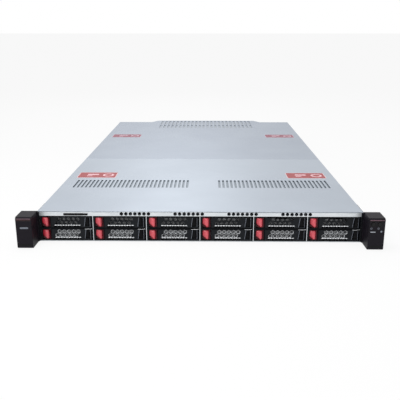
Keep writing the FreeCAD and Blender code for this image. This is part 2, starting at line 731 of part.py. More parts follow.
def build_motherboard():
    """Main board on standoffs, with processor sockets, memory sockets and the port shells at the rear."""
    body = add_body("motherboard")
    step = "supply_front - board_step_gap"
    pad(body, "Board", "XY_Plane", "pan_sheet + board_lift", "board_top", [
        ("0 - board_half", "board_front"),
        ("board_half", "board_front"),
        ("board_half", step),
        ("tail_right - tail_slope - 2 * pan_sheet", step),
        ("tail_right - tail_slope - 2 * pan_sheet", "rear_end - 2 * pan_sheet"),
        ("tail_left + tail_slope + 2 * pan_sheet", "rear_end - 2 * pan_sheet"),
        ("tail_left + tail_slope + 2 * pan_sheet", step),
        ("0 - board_half", step)])
    sink_middle = "board_front + sink_start + sink_length / 2"
    frame = pad(body, "SocketFrame", "XY_Plane", "board_top", "board_top + socket_frame",
                rectangle("sink_offset - sink_width / 2", "sink_offset + sink_width / 2",
                          f"{sink_middle} - sink_length / 2", f"{sink_middle} + sink_length / 2"))
    mirror(body, "SocketFrames", [frame])
    front = "board_front + module_start - slot_overhang"
    rear = "board_front + module_start + module_length + slot_overhang"
    for bank, first in (("Outer", "outer_bank"), ("Inner", "inner_bank")):
        block = pad(body, bank + "Sockets", "XY_Plane", "board_top", "board_top + slot_rise",
                    rectangle(f"{first} - slot_width / 2", f"{first} + 5 * module_pitch + slot_width / 2",
                              front, rear))
        mirror(body, bank + "SocketsOtherSide", [block])
    left = "tail_middle - 2.5 * port_pitch - port_width / 2"
    port = pad(body, "PortShell", "XZ_Plane", "rear_end - port_depth", "rear_end",
               rectangle(left, f"{left} + port_width", "board_top + weld_gap", "board_top + port_height"),
               rectangle(f"{left} + port_wall", f"{left} + port_width - port_wall",
                         "board_top + port_wall", "board_top + port_height - port_wall"))
    repeat(body, "PortShells", [port], "X_Axis", "port_pitch", 6)
    post = pad(body, "Standoff", "XY_Plane", "pan_sheet", "pan_sheet + board_lift",
               hexagon("board_half - standoff_across", "board_front + standoff_across", "standoff_across"),
               hexagon("board_half - standoff_across", f"{step} - standoff_across", "standoff_across"))
    mirror(body, "Standoffs", [post])


def build_memory_modules():
    """Twenty-four memory modules, six on each side of both processors."""
    body = add_body("memory_modules")
    front = "board_front + module_start"
    rear = f"{front} + module_length"
    for bank, first in (("Outer", "outer_bank"), ("Inner", "inner_bank")):
        module = pad(body, bank + "Module", "XY_Plane", "board_top + slot_rise",
                     "board_top + module_seat + module_height",
                     rectangle(f"{first} - module_sheet / 2", f"{first} + module_sheet / 2", front, rear),
                     rectangle(f"0 - {first} - module_sheet / 2 - 5 * module_pitch",
                               f"0 - {first} + module_sheet / 2 - 5 * module_pitch", front, rear))
        repeat(body, bank + "Modules", [module], "X_Axis", "module_pitch", 6)


def build_cpu_heatsinks():
    """Two finned coolers, each on the frame of its processor socket."""
    body = add_body("cpu_heatsinks")
    front = "board_front + sink_start"
    base = "board_top + socket_frame"
    for side, centre in (("Left", "(0 - sink_offset)"), ("Right", "sink_offset")):
        pad(body, side + "Base", "XY_Plane", base, f"{base} + sink_base",
            rectangle(f"{centre} - sink_width / 2", f"{centre} + sink_width / 2",
                      front, f"{front} + sink_length"))
        first = f"{centre} - 5 * sink_fin_pitch"
        fin = pad(body, side + "Fin", "XY_Plane", f"{base} + sink_base", "wall_top - sink_gap",
                  rectangle(f"{first} - sink_fin / 2", f"{first} + sink_fin / 2",
                            front, f"{front} + sink_length"))
        repeat(body, side + "Fins", [fin], "X_Axis", "sink_fin_pitch", 11)


def build_riser_cage():
    """Two expansion cards on a riser plate, each with a vented bracket in the rear wall."""
    body = add_body("riser_cage")
    left = "tail_middle - card_slot_gap / 2 - card_slot_width"
    front = "rear_end - pan_sheet - card_length"
    bracket = pad(body, "Bracket", "XZ_Plane", "rear_end - 2 * pan_sheet", "rear_end - pan_sheet",
                  rectangle(f"{left} - card_slot_gap / 4", f"{left} + card_slot_width + card_slot_gap / 4",
                            "card_slot_base - card_slot_gap / 4", "wall_top"))
    repeat(body, "Brackets", [bracket], "X_Axis", "card_slot_width + card_slot_gap", 2)
    vent = pocket(body, "Vent", "XZ_Plane", "rear_end - 2 * pan_sheet - cut_margin", "rear_end",
                  rectangle("tail_middle - 2.5 * card_vent_pitch - card_vent_width / 2",
                            "tail_middle - 2.5 * card_vent_pitch + card_vent_width / 2",
                            "card_slot_base + (card_slot_height - card_vent_height) / 2",
                            "card_slot_base + (card_slot_height + card_vent_height) / 2"))
    repeat(body, "Vents", [vent], "X_Axis", "card_vent_pitch", 6)
    pad(body, "Plate", "XY_Plane", "card_slot_base - card_slot_gap / 4 - pan_sheet",
        "card_slot_base - card_slot_gap / 4",
        rectangle(f"{left} - card_slot_gap / 4", "tail_middle + card_slot_width + card_slot_gap * 0.75",
                  front, "rear_end - pan_sheet"))
    pad(body, "RiserWall", "YZ_Plane", "tail_middle - pan_sheet", "tail_middle + pan_sheet",
        rectangle(front, "rear_end - 2 * pan_sheet", "board_top", "wall_top - lid_gap"))


# ---------------------------------------------------------------------------------- the power supplies

def build_power_supply(label):
    """Hot-plug supply: closed case, mains inlet and exhaust slots in its rear face, and a bail handle."""
    body = add_body(label, x="supply_gap - inner_half", z="supply_base")
    pad(body, "Case", "XY_Plane", "0", "supply_height",
        rectangle("0", "supply_width", "supply_front", "chassis_depth"))
    inlet_left = "supply_width - inlet_wall - inlet_width"
    pocket(body, "Inlet", "XZ_Plane", "chassis_depth - inlet_depth", "chassis_depth + cut_margin",
           rectangle(inlet_left, f"{inlet_left} + inlet_width", "inlet_wall", "inlet_wall + inlet_height"))
    vent = pocket(body, "Vent", "XZ_Plane", "chassis_depth - inlet_depth", "chassis_depth + cut_margin",
                  rectangle("inlet_wall", "inlet_wall + supply_vent_width",
                            "(supply_height - supply_vent_height) / 2",
                            "(supply_height + supply_vent_height) / 2"))
    repeat(body, "Vents", [vent], "X_Axis", "supply_vent_pitch", 4)
    bar_left = f"{inlet_left} - supply_handle_offset"
    reach = "chassis_depth + supply_handle_reach"
    pad(body, "Handle", "YZ_Plane", bar_left, f"{bar_left} + supply_handle_bar", [
        ("chassis_depth", "(supply_height - supply_handle_height) / 2"),
        (f"{reach} - supply_handle_bar", "(supply_height - supply_handle_height) / 2"),
        (reach, "(supply_height - supply_handle_height) / 2 + supply_handle_bar"),
        (reach, "(supply_height + supply_handle_height) / 2 - supply_handle_bar"),
        (f"{reach} - supply_handle_bar", "(supply_height + supply_handle_height) / 2"),
        ("chassis_depth", "(supply_height + supply_handle_height) / 2"),
        ("chassis_depth", "(supply_height + supply_handle_height) / 2 - supply_handle_bar"),
        (f"{reach} - supply_handle_bar", "(supply_height + supply_handle_height) / 2 - supply_handle_bar"),
        (f"{reach} - supply_handle_bar", "(supply_height - supply_handle_height) / 2 + supply_handle_bar"),
        ("chassis_depth", "(supply_height - supply_handle_height) / 2 + supply_handle_bar")])
    return body


def build_power_supplies():
    master = build_power_supply("power_supply_1")
    add_copy("power_supply_2", master, "inner_half - supply_gap - supply_width", "0 - middle", "supply_base")


# ------------------------------------------------------------------------------------------ the ears

def build_ear(label, side):
    """Rack ear: steel flange with two rack holes, a leg on the chassis wall and a hollow moulded front."""
    body = add_body(label)
    inner, outer = (f"{side} * ear_inner", f"{side} * ear_outer")
    wall = f"{side} * chassis_half"
    pad(body, "Flange", "XZ_Plane", "0 - ear_flange", "0", rectangle(wall, outer, "0", "ear_top"))
    pad(body, "Leg", "XZ_Plane", "0", "ear_leg_length",
        rectangle(wall, f"{side} * (chassis_half + ear_leg_sheet)", "0", "wall_top"))
    pad(body, "Housing", "YZ_Plane", f"{'ear_inner' if side > 0 else '0 - ear_outer'}",
        f"{'ear_outer' if side > 0 else '0 - ear_inner'}", [
            ("0 - ear_flange", "0"),
            ("0 - ear_flange", "ear_top"),
            ("ear_bevel - ear_reach", "ear_top"),
            ("0 - ear_reach", "ear_top - ear_bevel"),
            ("0 - ear_reach", "ear_bevel"),
            ("ear_bevel / 2 - ear_reach", "0")])
    pocket(body, "Hollow", "XZ_Plane", "ear_wall - ear_reach", "0 - ear_flange",
           rectangle(f"{inner} + {side} * ear_wall", f"{outer} - {side} * ear_wall",
                     "ear_wall", "ear_top - ear_wall"))
    hole_x = f"{outer} - {side} * rack_hole_inset"
    pocket(body, "RackHoles", "XZ_Plane", "0 - ear_flange - cut_margin", "cut_margin",
           circle(hole_x, "rack_hole_low", "rack_hole_radius"),
           circle(hole_x, "rack_hole_low + rack_hole_spacing", "rack_hole_radius"))
    return body


def build_ears():
    build_ear("left_ear", -1)
    right = build_ear("right_ear", 1)
    pocket(right, "KeyHoles", "XZ_Plane", "0 - ear_reach - cut_margin", "ear_wall - ear_reach + cut_margin",
           facets("chassis_half + key_inset", "key_level", "(key_radius + key_gap)", 12),
           facets("chassis_half + key_inset + key_spacing", "key_level", "(key_radius + key_gap)", 12))
    switch_front = "key_length + key_travel + key_gap - ear_reach"
    pad(right, "SwitchBoard", "XZ_Plane", switch_front, f"{switch_front} + key_rim",
        rectangle("ear_inner + ear_wall", "ear_outer - ear_wall",
                  "key_level - key_spacing / 2", "ear_top - ear_wall"))


def build_ear_key(label, x):
    """Round push button that stands in the front wall of an ear and is held by its rim."""
    body = add_body(label, x=x, y="0 - ear_reach - middle", z="key_level")
    pad(body, "Stem", "XZ_Plane", "0 - key_proud", "key_length", facets("0", "0", "key_radius", 12))
    pad(body, "Rim", "XZ_Plane", "ear_wall + key_gap", "ear_wall + key_gap + key_rim",
        facets("0", "0", "(key_radius + key_rim)", 8))


def build_fasteners():
    """Studs along both walls that the slide rails hook on."""
    body = add_body("fasteners")
    level = "wall_top / 2"
    shank = pad(body, "Shank", "YZ_Plane", "chassis_half", "chassis_half + stud_length",
                hexagon("stud_first", level, "stud_across"))
    head = pad(body, "Head", "YZ_Plane", "chassis_half + stud_length",
               "chassis_half + stud_length + stud_head", hexagon("stud_first", level, "stud_head_across"))
    repeat(body, "Studs", [shank, head], "Y_Axis", "stud_pitch", 3)
    far_shank = pad(body, "FarShank", "YZ_Plane", "0 - chassis_half - stud_length", "0 - chassis_half",
                    hexagon("stud_first", level, "stud_across"))
    far_head = pad(body, "FarHead", "YZ_Plane", "0 - chassis_half - stud_length - stud_head",
                   "0 - chassis_half - stud_length", hexagon("stud_first", level, "stud_head_across"))
    repeat(body, "FarStuds", [far_shank, far_head], "Y_Axis", "stud_pitch", 3)


# ------------------------------------------------------------------------------------- build and check

build_chassis_pan()
build_front_cover()
build_rear_cover()
build_label_tab(build_drive_cage())
build_drives()
build_backplane()
build_fan_frames()
build_fan_rotors()
build_motherboard()
build_memory_modules()
build_cpu_heatsinks()
build_riser_cage()
build_power_supplies()
build_ears()
build_ear_key("power_button", "chassis_half + key_inset")
build_ear_key("uid_button", "chassis_half + key_inset + key_spacing")
build_fasteners()
document.recompute()

for item in document.Objects:
    if "Invalid" in item.State or "Error" in item.State:
        raise RuntimeError(f"{item.Label} ({item.TypeId}) failed: {item.State}")
    if item.isDerivedFrom("PartDesign::Pocket"):
        if item.Shape.Volume >= item.BaseFeature.Shape.Volume:
            raise RuntimeError(f"{item.Label} cuts nothing")

os.makedirs("parts", exist_ok=True)
for item in sub_parts:
    shape = Part.getShape(item)
    if shape.isNull() or not shape.isValid():
        raise RuntimeError(f"{item.Label} has no valid shape")
    shape.exportStep(f"parts/{item.Label}.step")
print(f"{len(sub_parts)} sub-parts written")
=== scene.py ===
import random
from math import cos, pi, radians, sin

import bmesh
import bpy
from mathutils import Matrix, Vector


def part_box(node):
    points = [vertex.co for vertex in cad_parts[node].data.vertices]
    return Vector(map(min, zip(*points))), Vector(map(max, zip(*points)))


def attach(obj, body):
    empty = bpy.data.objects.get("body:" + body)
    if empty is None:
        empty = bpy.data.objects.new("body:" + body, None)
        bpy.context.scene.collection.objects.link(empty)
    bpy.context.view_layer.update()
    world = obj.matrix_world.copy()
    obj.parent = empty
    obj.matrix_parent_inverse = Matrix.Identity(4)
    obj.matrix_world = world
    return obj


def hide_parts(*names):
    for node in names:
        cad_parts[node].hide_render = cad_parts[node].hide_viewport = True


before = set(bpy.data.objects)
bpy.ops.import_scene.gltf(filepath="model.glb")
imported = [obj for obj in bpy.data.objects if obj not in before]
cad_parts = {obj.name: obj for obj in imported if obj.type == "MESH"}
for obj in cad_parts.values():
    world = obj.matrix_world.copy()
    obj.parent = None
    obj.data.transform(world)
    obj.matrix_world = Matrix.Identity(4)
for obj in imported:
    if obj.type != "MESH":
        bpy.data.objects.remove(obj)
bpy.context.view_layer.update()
mm = 0.001
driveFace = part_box("drive_cage")[0].y  # depths below are counted from this plane, towards the rear
print("frame loaded:", len(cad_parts), "nodes")


# ---- small helpers

def at(x, y, z):
    return Vector((x, y, z)) * mm


def spot(x, depth, z):
    return Vector((x * mm, driveFace + depth * mm, z * mm))


def linear(code):
    channels = [int(code[i:i + 2], 16) / 255 for i in (0, 2, 4)]
    return [c / 12.92 if c <= 0.04045 else ((c + 0.055) / 1.055) ** 2.4 for c in channels] + [1.0]


def addNode(tree, kind, settings=None, inputs=None):
    node = tree.nodes.new("ShaderNode" + kind)
    for name, value in (settings or {}).items():
        setattr(node, name, value)
    for name, value in (inputs or {}).items():
        if isinstance(value, bpy.types.NodeSocket):
            tree.links.new(value, node.inputs[name])
        else:
            node.inputs[name].default_value = value
    return node


def startMaterial(name):
    material = bpy.data.materials.new(name)
    material.use_nodes = True
    material.node_tree.nodes.clear()
    return material, material.node_tree


def closeMaterial(tree, shader):
    addNode(tree, "OutputMaterial", inputs={"Surface": shader.outputs[0]})


# noise over the piece, with the grain size in millimetres and an optional stretch along each axis
def grain(tree, size, stretch=(1, 1, 1), detail=2.0, roughness=0.5):
    place = addNode(tree, "TexCoord")
    spread = addNode(tree, "Mapping", inputs={"Vector": place.outputs["Object"],
                                              "Scale": [1 / (size * mm * s) for s in stretch]})
    return addNode(tree, "TexNoise", inputs={"Vector": spread.outputs["Vector"], "Scale": 1.0,
                                             "Detail": detail, "Roughness": roughness})


# two or more colours over a pattern, given as (place along the pattern, sRGB hex)
def colourBy(tree, value, stops):
    ramp = addNode(tree, "ValToRGB", inputs={"Fac": value})
    points = ramp.color_ramp.elements
    while len(points) < len(stops):
        points.new(0.5)
    for point, (place, code) in zip(points, stops):
        point.position = place
        point.color = linear(code)
    return ramp.outputs["Color"]


def rangeOf(tree, value, low, high, fromLow=0.3, fromHigh=0.7):
    return addNode(tree, "MapRange", inputs={"Value": value, "From Min": fromLow, "From Max": fromHigh,
                                             "To Min": low, "To Max": high}).outputs["Result"]


def relief(tree, value, height, strength=0.4):
    return addNode(tree, "Bump", inputs={"Height": value, "Distance": height * mm,
                                         "Strength": strength}).outputs["Normal"]


def meshPiece(name, mesh, material, body, place=None):
    piece = bpy.data.objects.new(name, mesh)
    bpy.context.scene.collection.objects.link(piece)
    if not mesh.materials and material:
        mesh.materials.append(finish[material])
    if place is not None:
        piece.location = place
    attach(piece, body)
    return piece


def closeMesh(shape, name, smoothAngle=35):
    bmesh.ops.remove_doubles(shape, verts=shape.verts, dist=1e-6)
    bmesh.ops.recalc_face_normals(shape, faces=shape.faces)
    mesh = bpy.data.meshes.new(name)
    for face in shape.faces:
        face.smooth = True
    for edge in shape.edges:
        if len(edge.link_faces) == 2 and edge.calc_face_angle() > radians(smoothAngle):
            edge.smooth = False
    shape.to_mesh(mesh)
    shape.free()
    return mesh


# flat sheet with holes, from outlines in millimetres: thick along Z, then turned and shifted
def cutSheet(name, outlines, thickness, rounding=0.0, turn=None, shift=None):
    curve = bpy.data.curves.new(name, "CURVE")
    curve.dimensions = "2D"
    curve.fill_mode = "BOTH"
    curve.extrude = (thickness / 2 - rounding) * mm
    curve.bevel_depth = rounding * mm
    curve.offset = -rounding * mm
    curve.bevel_resolution = 1
    for outline in outlines:
        spline = curve.splines.new("POLY")
        spline.points.add(len(outline) - 1)
        for point, (x, y) in zip(spline.points, outline):
            point.co = (x * mm, y * mm, 0, 1)
        spline.use_cyclic_u = True
    holder = bpy.data.objects.new(name, curve)
    flat = bpy.data.meshes.new_from_object(holder)
    bpy.data.objects.remove(holder)
    shape = bmesh.new()
    shape.from_mesh(flat)
    if turn:
        bmesh.ops.transform(shape, matrix=turn, verts=shape.verts)
    mesh = closeMesh(shape, name)
    if shift:
        mesh.transform(Matrix.Translation(Vector(shift) * mm))
    return mesh


facingFront = Matrix.Rotation(radians(90), 4, "X")


# upright sheet, seen from the front: "level" is the world depth of its middle in millimetres
def frontSheet(name, outlines, thickness, rounding, material, body, level):
    mesh = cutSheet(name, outlines, thickness, rounding=rounding, turn=facingFront)
    return meshPiece(name, mesh, material, body, at(0, level, 0))


def rectangle(left, right, low, high):
    return [(left, low), (right, low), (right, high), (left, high)]


def roundedRectangle(left, right, low, high, radius, steps=4):
    corners = [(right - radius, high - radius, 0), (left + radius, high - radius, 90),
               (left + radius, low + radius, 180), (right - radius, low + radius, 270)]
    return [(x + radius * cos(radians(start + 90 * i / steps)),
             y + radius * sin(radians(start + 90 * i / steps)))
            for x, y, start in corners for i in range(steps + 1)]


def regular(x, y, radius, sides, first=0):
    return [(x + radius * cos(radians(first + 360 * i / sides)),
             y + radius * sin(radians(first + 360 * i / sides))) for i in range(sides)]


# faces between rings of points and over the first and last ring
# from the ring numbered "change" on they take the second material
def skin(shape, loops, change=None):
    for level, (near, far) in enumerate(zip(loops, loops[1:])):
        for i in range(len(near)):
            face = shape.faces.new((near[i - 1], near[i], far[i], far[i - 1]))
            face.material_index = 1 if change is not None and level >= change else 0
    shape.faces.new(loops[0])
    shape.faces.new(loops[-1][::-1]).material_index = 0 if change is None else 1


def addBlock(shape, low, high):
    for vert in bmesh.ops.create_cube(shape, size=1.0)["verts"]:
        vert.co = Vector([(low[i] + high[i]) / 2 + vert.co[i] * (high[i] - low[i]) for i in range(3)]) * mm


def around(x, y, wide, long, low, high):
    return (x - wide / 2, y - long / 2, low), (x + wide / 2, y + long / 2, high)


# several blocks with eased edges in one mesh, each given by its low and high corner in millimetres
def blocks(name, corners, easing=0.0):
    shape = bmesh.new()
    for low, high in corners:
        addBlock(shape, low, high)
    if easing:
        bmesh.ops.bevel(shape, geom=shape.edges[:], offset=easing * mm, segments=1, affect="EDGES",
                        clamp_overlap=True)
    return closeMesh(shape, name)


# turned shape about Z from a profile of (radius, height) in millimetres, repeated at each place
def turned(name, profile, places, steps=24, turn=Matrix()):
    shape = bmesh.new()
    circle = [(cos(2 * pi * i / steps), sin(2 * pi * i / steps)) for i in range(steps)]
    for place in places:
        skin(shape, [[shape.verts.new(turn @ at(radius * x, radius * y, height) + at(*place)) for x, y in circle]
                     for radius, height in profile])
    return closeMesh(shape, name)


def loft(name, rings, change=None, smoothAngle=35):
    shape = bmesh.new()
    skin(shape, [[shape.verts.new(at(*point)) for point in ring] for ring in rings], change)
    return closeMesh(shape, name, smoothAngle)


# eased edges that catch the light, as a folded or moulded edge does
def easeEdges(width, node):
    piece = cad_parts[node]
    weld = piece.modifiers.new("weld", "WELD")
    weld.merge_threshold = 1e-6
    flat = piece.modifiers.new("flat", "DECIMATE")
    flat.decimate_type = "DISSOLVE"
    flat.angle_limit = radians(1)
    ease = piece.modifiers.new("ease", "BEVEL")
    ease.width = width * mm
    ease.segments = 2
    ease.limit_method = "ANGLE"
    ease.angle_limit = radians(40)
    ease.harden_normals = True


bays = [f"{number:02d}" for number in range(1, 13)]


# ---- camera, background and light

cameraPlace = {
    "aside": 9.4,      # mm right of the middle
    "back": 738.5,     # mm in front of the drive faces
    "height": 280.0,   # mm over the floor
    "tilt": 16.64,     # degrees down
    "turn": 0.72,      # degrees to the left
    "lens": 51.85,     # mm, on the default 36 mm sensor
}


def setCamera():
    camera = bpy.data.objects.new("camera", bpy.data.cameras.new("camera"))
    bpy.context.scene.collection.objects.link(camera)
    camera.location = spot(cameraPlace["aside"], -cameraPlace["back"], cameraPlace["height"])
    camera.rotation_euler = (radians(90 - cameraPlace["tilt"]), 0, radians(cameraPlace["turn"]))
    camera.data.lens = cameraPlace["lens"]
    camera.data.clip_start = 0.01
    camera.data.clip_end = 100
    bpy.context.scene.camera = camera


studio = {
    "ambient": 0.62,
    "backdrop": "FFFFFF",
    "floorColour": "F7F7F7",
    "floorShadow": 0.15,   # share of the floor that takes shadows
    "floorReach": 30,      # m from its middle to its edge
    "floorGap": 0.3,       # mm under the object
    # name: place in mm (x, depth, z), point it faces, width and height in mm, watts
    "lamps": {
        "overhead": ((-220, 60, 900), (-30, 120, 43), (620, 420), 3.0),
        "front": ((-350, -1300, 900), (0, 0, 20), (900, 600), 7.0),
        "rear": ((-125, 1450, 900), (-40, 200, 43), (380, 300), 1.6),
    },
}


# 1 for rays that show a surface, straight, in a reflection or through a clear piece, and 0 for other light
def shownRays(tree):
    ray = addNode(tree, "LightPath")
    seen = addNode(tree, "Math", {"operation": "MAXIMUM"},
                   {0: ray.outputs["Is Camera Ray"], 1: ray.outputs["Is Glossy Ray"]})
    return addNode(tree, "Math", {"operation": "MAXIMUM"},
                   {0: seen.outputs[0], 1: ray.outputs["Is Transmission Ray"]}).outputs[0]


def setStudio():
    world = bpy.data.worlds.new("studio")
    bpy.context.scene.world = world
    world.use_nodes = True
    tree = world.node_tree
    tree.nodes.clear()
    seen = shownRays(tree)
    ambient = addNode(tree, "Background", inputs={"Color": linear("FFFFFF"), "Strength": studio["ambient"]})
    shown = addNode(tree, "Background", inputs={"Color": linear(studio["backdrop"]), "Strength": 1.0})
    mixed = addNode(tree, "MixShader", inputs={0: seen, 1: ambient.outputs[0], 2: shown.outputs[0]})
    addNode(tree, "OutputWorld", inputs={"Surface": mixed.outputs[0]})

    material, tree = startMaterial("paperSweep")  # matt photo paper: even white with a soft shadow
    share = addNode(tree, "Math", {"operation": "MULTIPLY"}, {0: shownRays(tree), 1: 1 - studio["floorShadow"]})
    paper = addNode(tree, "BsdfDiffuse", inputs={"Color": linear(studio["floorColour"])})
    glow = addNode(tree, "Emission", inputs={"Color": linear("FFFFFF"), "Strength": 1.0})
    closeMaterial(tree, addNode(tree, "MixShader", inputs={0: share.outputs[0], 1: paper.outputs[0],
                                                           2: glow.outputs[0]}))
    shape = bmesh.new()
    bmesh.ops.create_grid(shape, x_segments=1, y_segments=1, size=studio["floorReach"])
    floor = bpy.data.objects.new("floor", closeMesh(shape, "floor"))
    bpy.context.scene.collection.objects.link(floor)
    floor.location.z = -studio["floorGap"] * mm
    floor.data.materials.append(material)

    for name, (place, aim, size, watts) in studio["lamps"].items():
        lamp = bpy.data.objects.new(name, bpy.data.lights.new(name, "AREA"))
        bpy.context.scene.collection.objects.link(lamp)
        lamp.data.shape = "RECTANGLE"
        lamp.data.size, lamp.data.size_y = size[0] * mm, size[1] * mm
        lamp.data.energy = watts
        lamp.location = spot(*place)
        lamp.rotation_mode = "QUATERNION"
        lamp.rotation_quaternion = (spot(*aim) - spot(*place)).to_track_quat("-Z", "Y")
    bpy.context.scene.view_settings.view_transform = "Standard"


setCamera()
setStudio()
print("camera and studio set")


# ---- materials, each named for what it is and how its surface was made

# one pattern gives a surface its two tones, its roughness and, where it has one, its relief
def patterned(name, pale, deep, pattern, edge, rough, surface, bump=None):
    material, tree = startMaterial(name)
    value = grain(tree, **pattern).outputs[0]
    inputs = {"Base Color": colourBy(tree, value, [(edge, deep), (1 - edge, pale)]),
              "Roughness": rangeOf(tree, value, *rough), **surface}
    if bump:
        inputs["Normal"] = relief(tree, value, *bump)
    closeMaterial(tree, addNode(tree, "BsdfPrincipled", inputs=inputs))
    return material


# steel coil with a thin zinc coat and clear anti-fingerprint film: pale, satin, faint rolling lines
def electroGalvanisedSteel(name, pale, deep):
    material, tree = startMaterial(name)
    lines = grain(tree, 1.6, stretch=(60, 1, 1), detail=3)  # real lines are 0.1 mm, drawn coarser to show
    cloud = grain(tree, 70, detail=2)
    mixed = addNode(tree, "Mix", {"data_type": "FLOAT"}, {0: 0.35, 2: cloud.outputs[0], 3: lines.outputs[0]})
    closeMaterial(tree, addNode(tree, "BsdfPrincipled", inputs={
        "Base Color": colourBy(tree, mixed.outputs[0], [(0.3, deep), (0.7, pale)]), "Metallic": 0.75,
        "Roughness": rangeOf(tree, lines.outputs[0], 0.42, 0.5),
        "Normal": relief(tree, lines.outputs[0], 0.02, 0.15)}))
    return material


# hot dip zinc: crystals of slightly different grey that fit together, low sheen
def hotDipGalvanisedSteel():
    material, tree = startMaterial("hotDipGalvanisedSteel")
    place = addNode(tree, "TexCoord")
    spangle = addNode(tree, "TexVoronoi", inputs={"Vector": place.outputs["Object"], "Scale": 1 / (5 * mm)})
    flake = addNode(tree, "SeparateColor", inputs={"Color": spangle.outputs["Color"]})
    tone = colourBy(tree, flake.outputs[0], [(0.0, "A9AEB3"), (0.6, "B1B6BB"), (1.0, "BBC0C4")])
    closeMaterial(tree, addNode(tree, "BsdfPrincipled", inputs={
        "Base Color": tone, "Metallic": 0.8, "Roughness": rangeOf(tree, flake.outputs[0], 0.36, 0.52, 0, 1),
        "Normal": relief(tree, grain(tree, 0.6).outputs[0], 0.02, 0.2)}))
    return material


# punched and bright zinc plated sheet: cold white highlights with a slight blue cast
def brightZincSteel():
    return patterned("brightZincSteel", "E4E8EB", "CDD3D8", {"size": 0.9, "stretch": (20, 20, 1), "detail": 3},
                     0.35, (0.24, 0.36), {"Metallic": 0.85}, bump=(0.02, 0.15))


# moulded ABS with a spark eroded grain: matt, with tiny broken highlights
def sparkErodedAbs(name, pale, deep, rough=(0.45, 0.6), texture=0.5, sheen=0.3):
    return patterned(name, pale, deep, {"size": texture, "detail": 3, "roughness": 0.6}, 0.35, rough,
                     {"IOR": 1.54, "Specular IOR Level": sheen}, bump=(0.03, 0.35))


# dyed polycarbonate from a polished mould: saturated, clear highlights
def polishedPolycarbonate(name, pale, deep, sheen=0.5):
    return patterned(name, pale, deep, {"size": 3.0, "detail": 1}, 0.3, (0.2, 0.3),
                     {"IOR": 1.58, "Specular IOR Level": sheen})


# how far each point of a piece lies along one of its own axes
def alongAxis(tree, axis):
    place = addNode(tree, "TexCoord")
    return addNode(tree, "SeparateXYZ", inputs={"Vector": place.outputs["Object"]}).outputs[axis]


# the same polycarbonate in a cap, with painted light: a colour ramp over depth, pale at the crest as a painted
# highlight and deep red down the flanks as painted shade
def paintedShadeCapPolycarbonate(name, shadeToHighlightTones, low, high):
    material, tree = startMaterial(name)
    cloud = grain(tree, 3.0, detail=1)
    share = rangeOf(tree, alongAxis(tree, "Y"), 0, 1, low * mm, high * mm)
    closeMaterial(tree, addNode(tree, "BsdfPrincipled", inputs={
        "Base Color": colourBy(tree, share, [(step / (len(shadeToHighlightTones) - 1), tone) for step, tone in enumerate(shadeToHighlightTones)]),
        "IOR": 1.58, "Roughness": rangeOf(tree, cloud.outputs[0], 0.2, 0.3)}))
    return material


# glass fibre laminate under solder mask: deep green, waxy, with the weave just showing
# what stands on the board above "shellsFrom" mm is drawn tin plated steel: bright, cold, satin
def solderMaskLaminate(name, pale, deep, shellsFrom=None):
    material, tree = startMaterial(name)
    weave = grain(tree, 1.2, stretch=(1, 6, 1), detail=2)
    tracks = grain(tree, 5.0, stretch=(1, 3, 1), detail=4)
    shader = addNode(tree, "BsdfPrincipled", inputs={
        "Base Color": colourBy(tree, tracks.outputs[0], [(0.42, deep), (0.5, pale), (0.56, deep)]),
        "IOR": 1.55, "Roughness": rangeOf(tree, weave.outputs[0], 0.3, 0.42),
        "Normal": relief(tree, weave.outputs[0], 0.03, 0.25)})
    if shellsFrom is not None:
        above = addNode(tree, "Math", {"operation": "GREATER_THAN"}, {0: alongAxis(tree, "Z"), 1: shellsFrom * mm})
        drawn = grain(tree, 1.0, stretch=(1, 20, 1), detail=2)
        tin = addNode(tree, "BsdfPrincipled", inputs={
            "Base Color": colourBy(tree, drawn.outputs[0], [(0.35, "B9BCBE"), (0.65, "CDD0D1")]),
            "Metallic": 0.9, "Roughness": rangeOf(tree, drawn.outputs[0], 0.28, 0.4)})
        shader = addNode(tree, "MixShader", inputs={0: above.outputs[0], 1: shader.outputs[0],
                                                    2: tin.outputs[0]})
    closeMaterial(tree, shader)
    return material


# skived aluminium: fine cutting lines along the fins, soft white metal
def skivedAluminium():
    return patterned("skivedAluminium", "E2E3E3", "C6C8C9", {"size": 0.5, "stretch": (1, 40, 1), "detail": 3},
                     0.35, (0.3, 0.45), {"Metallic": 1.0})


# expanded aluminium foil: bright cell walls with a little scatter
def honeycombFoil(name, pale, deep):
    return patterned(name, pale, deep, {"size": 1.5, "detail": 2}, 0.3, (0.3, 0.5), {"Metallic": 0.35})


# pressure die cast and bead blasted aluminium: pale, dull and a little mottled
def castAluminium():
    material, tree = startMaterial("castAluminium")
    cloud = grain(tree, 9, detail=3)
    blast = grain(tree, 0.6, detail=2)
    closeMaterial(tree, addNode(tree, "BsdfPrincipled", inputs={
        "Base Color": colourBy(tree, cloud.outputs[0], [(0.3, "A6A8AA"), (0.7, "BDBFC1")]), "Metallic": 0.9,
        "Roughness": rangeOf(tree, blast.outputs[0], 0.45, 0.58),
        "Normal": relief(tree, blast.outputs[0], 0.03, 0.3)}))
    return material


# barrel nickel plating: warm grey metal with a soft even sheen
def nickelPlatedSteel(name, pale, deep):
    return patterned(name, pale, deep, {"size": 1.2, "stretch": (1, 30, 1), "detail": 2}, 0.35, (0.3, 0.42),
                     {"Metallic": 0.9})


# cut vinyl film: flat colour, a slight orange peel and a dull shine
def printedVinyl(name, pale, deep):
    return patterned(name, pale, deep, {"size": 2.0, "detail": 1}, 0.3, (0.4, 0.5), {"IOR": 1.5},
                     bump=(0.02, 0.2))


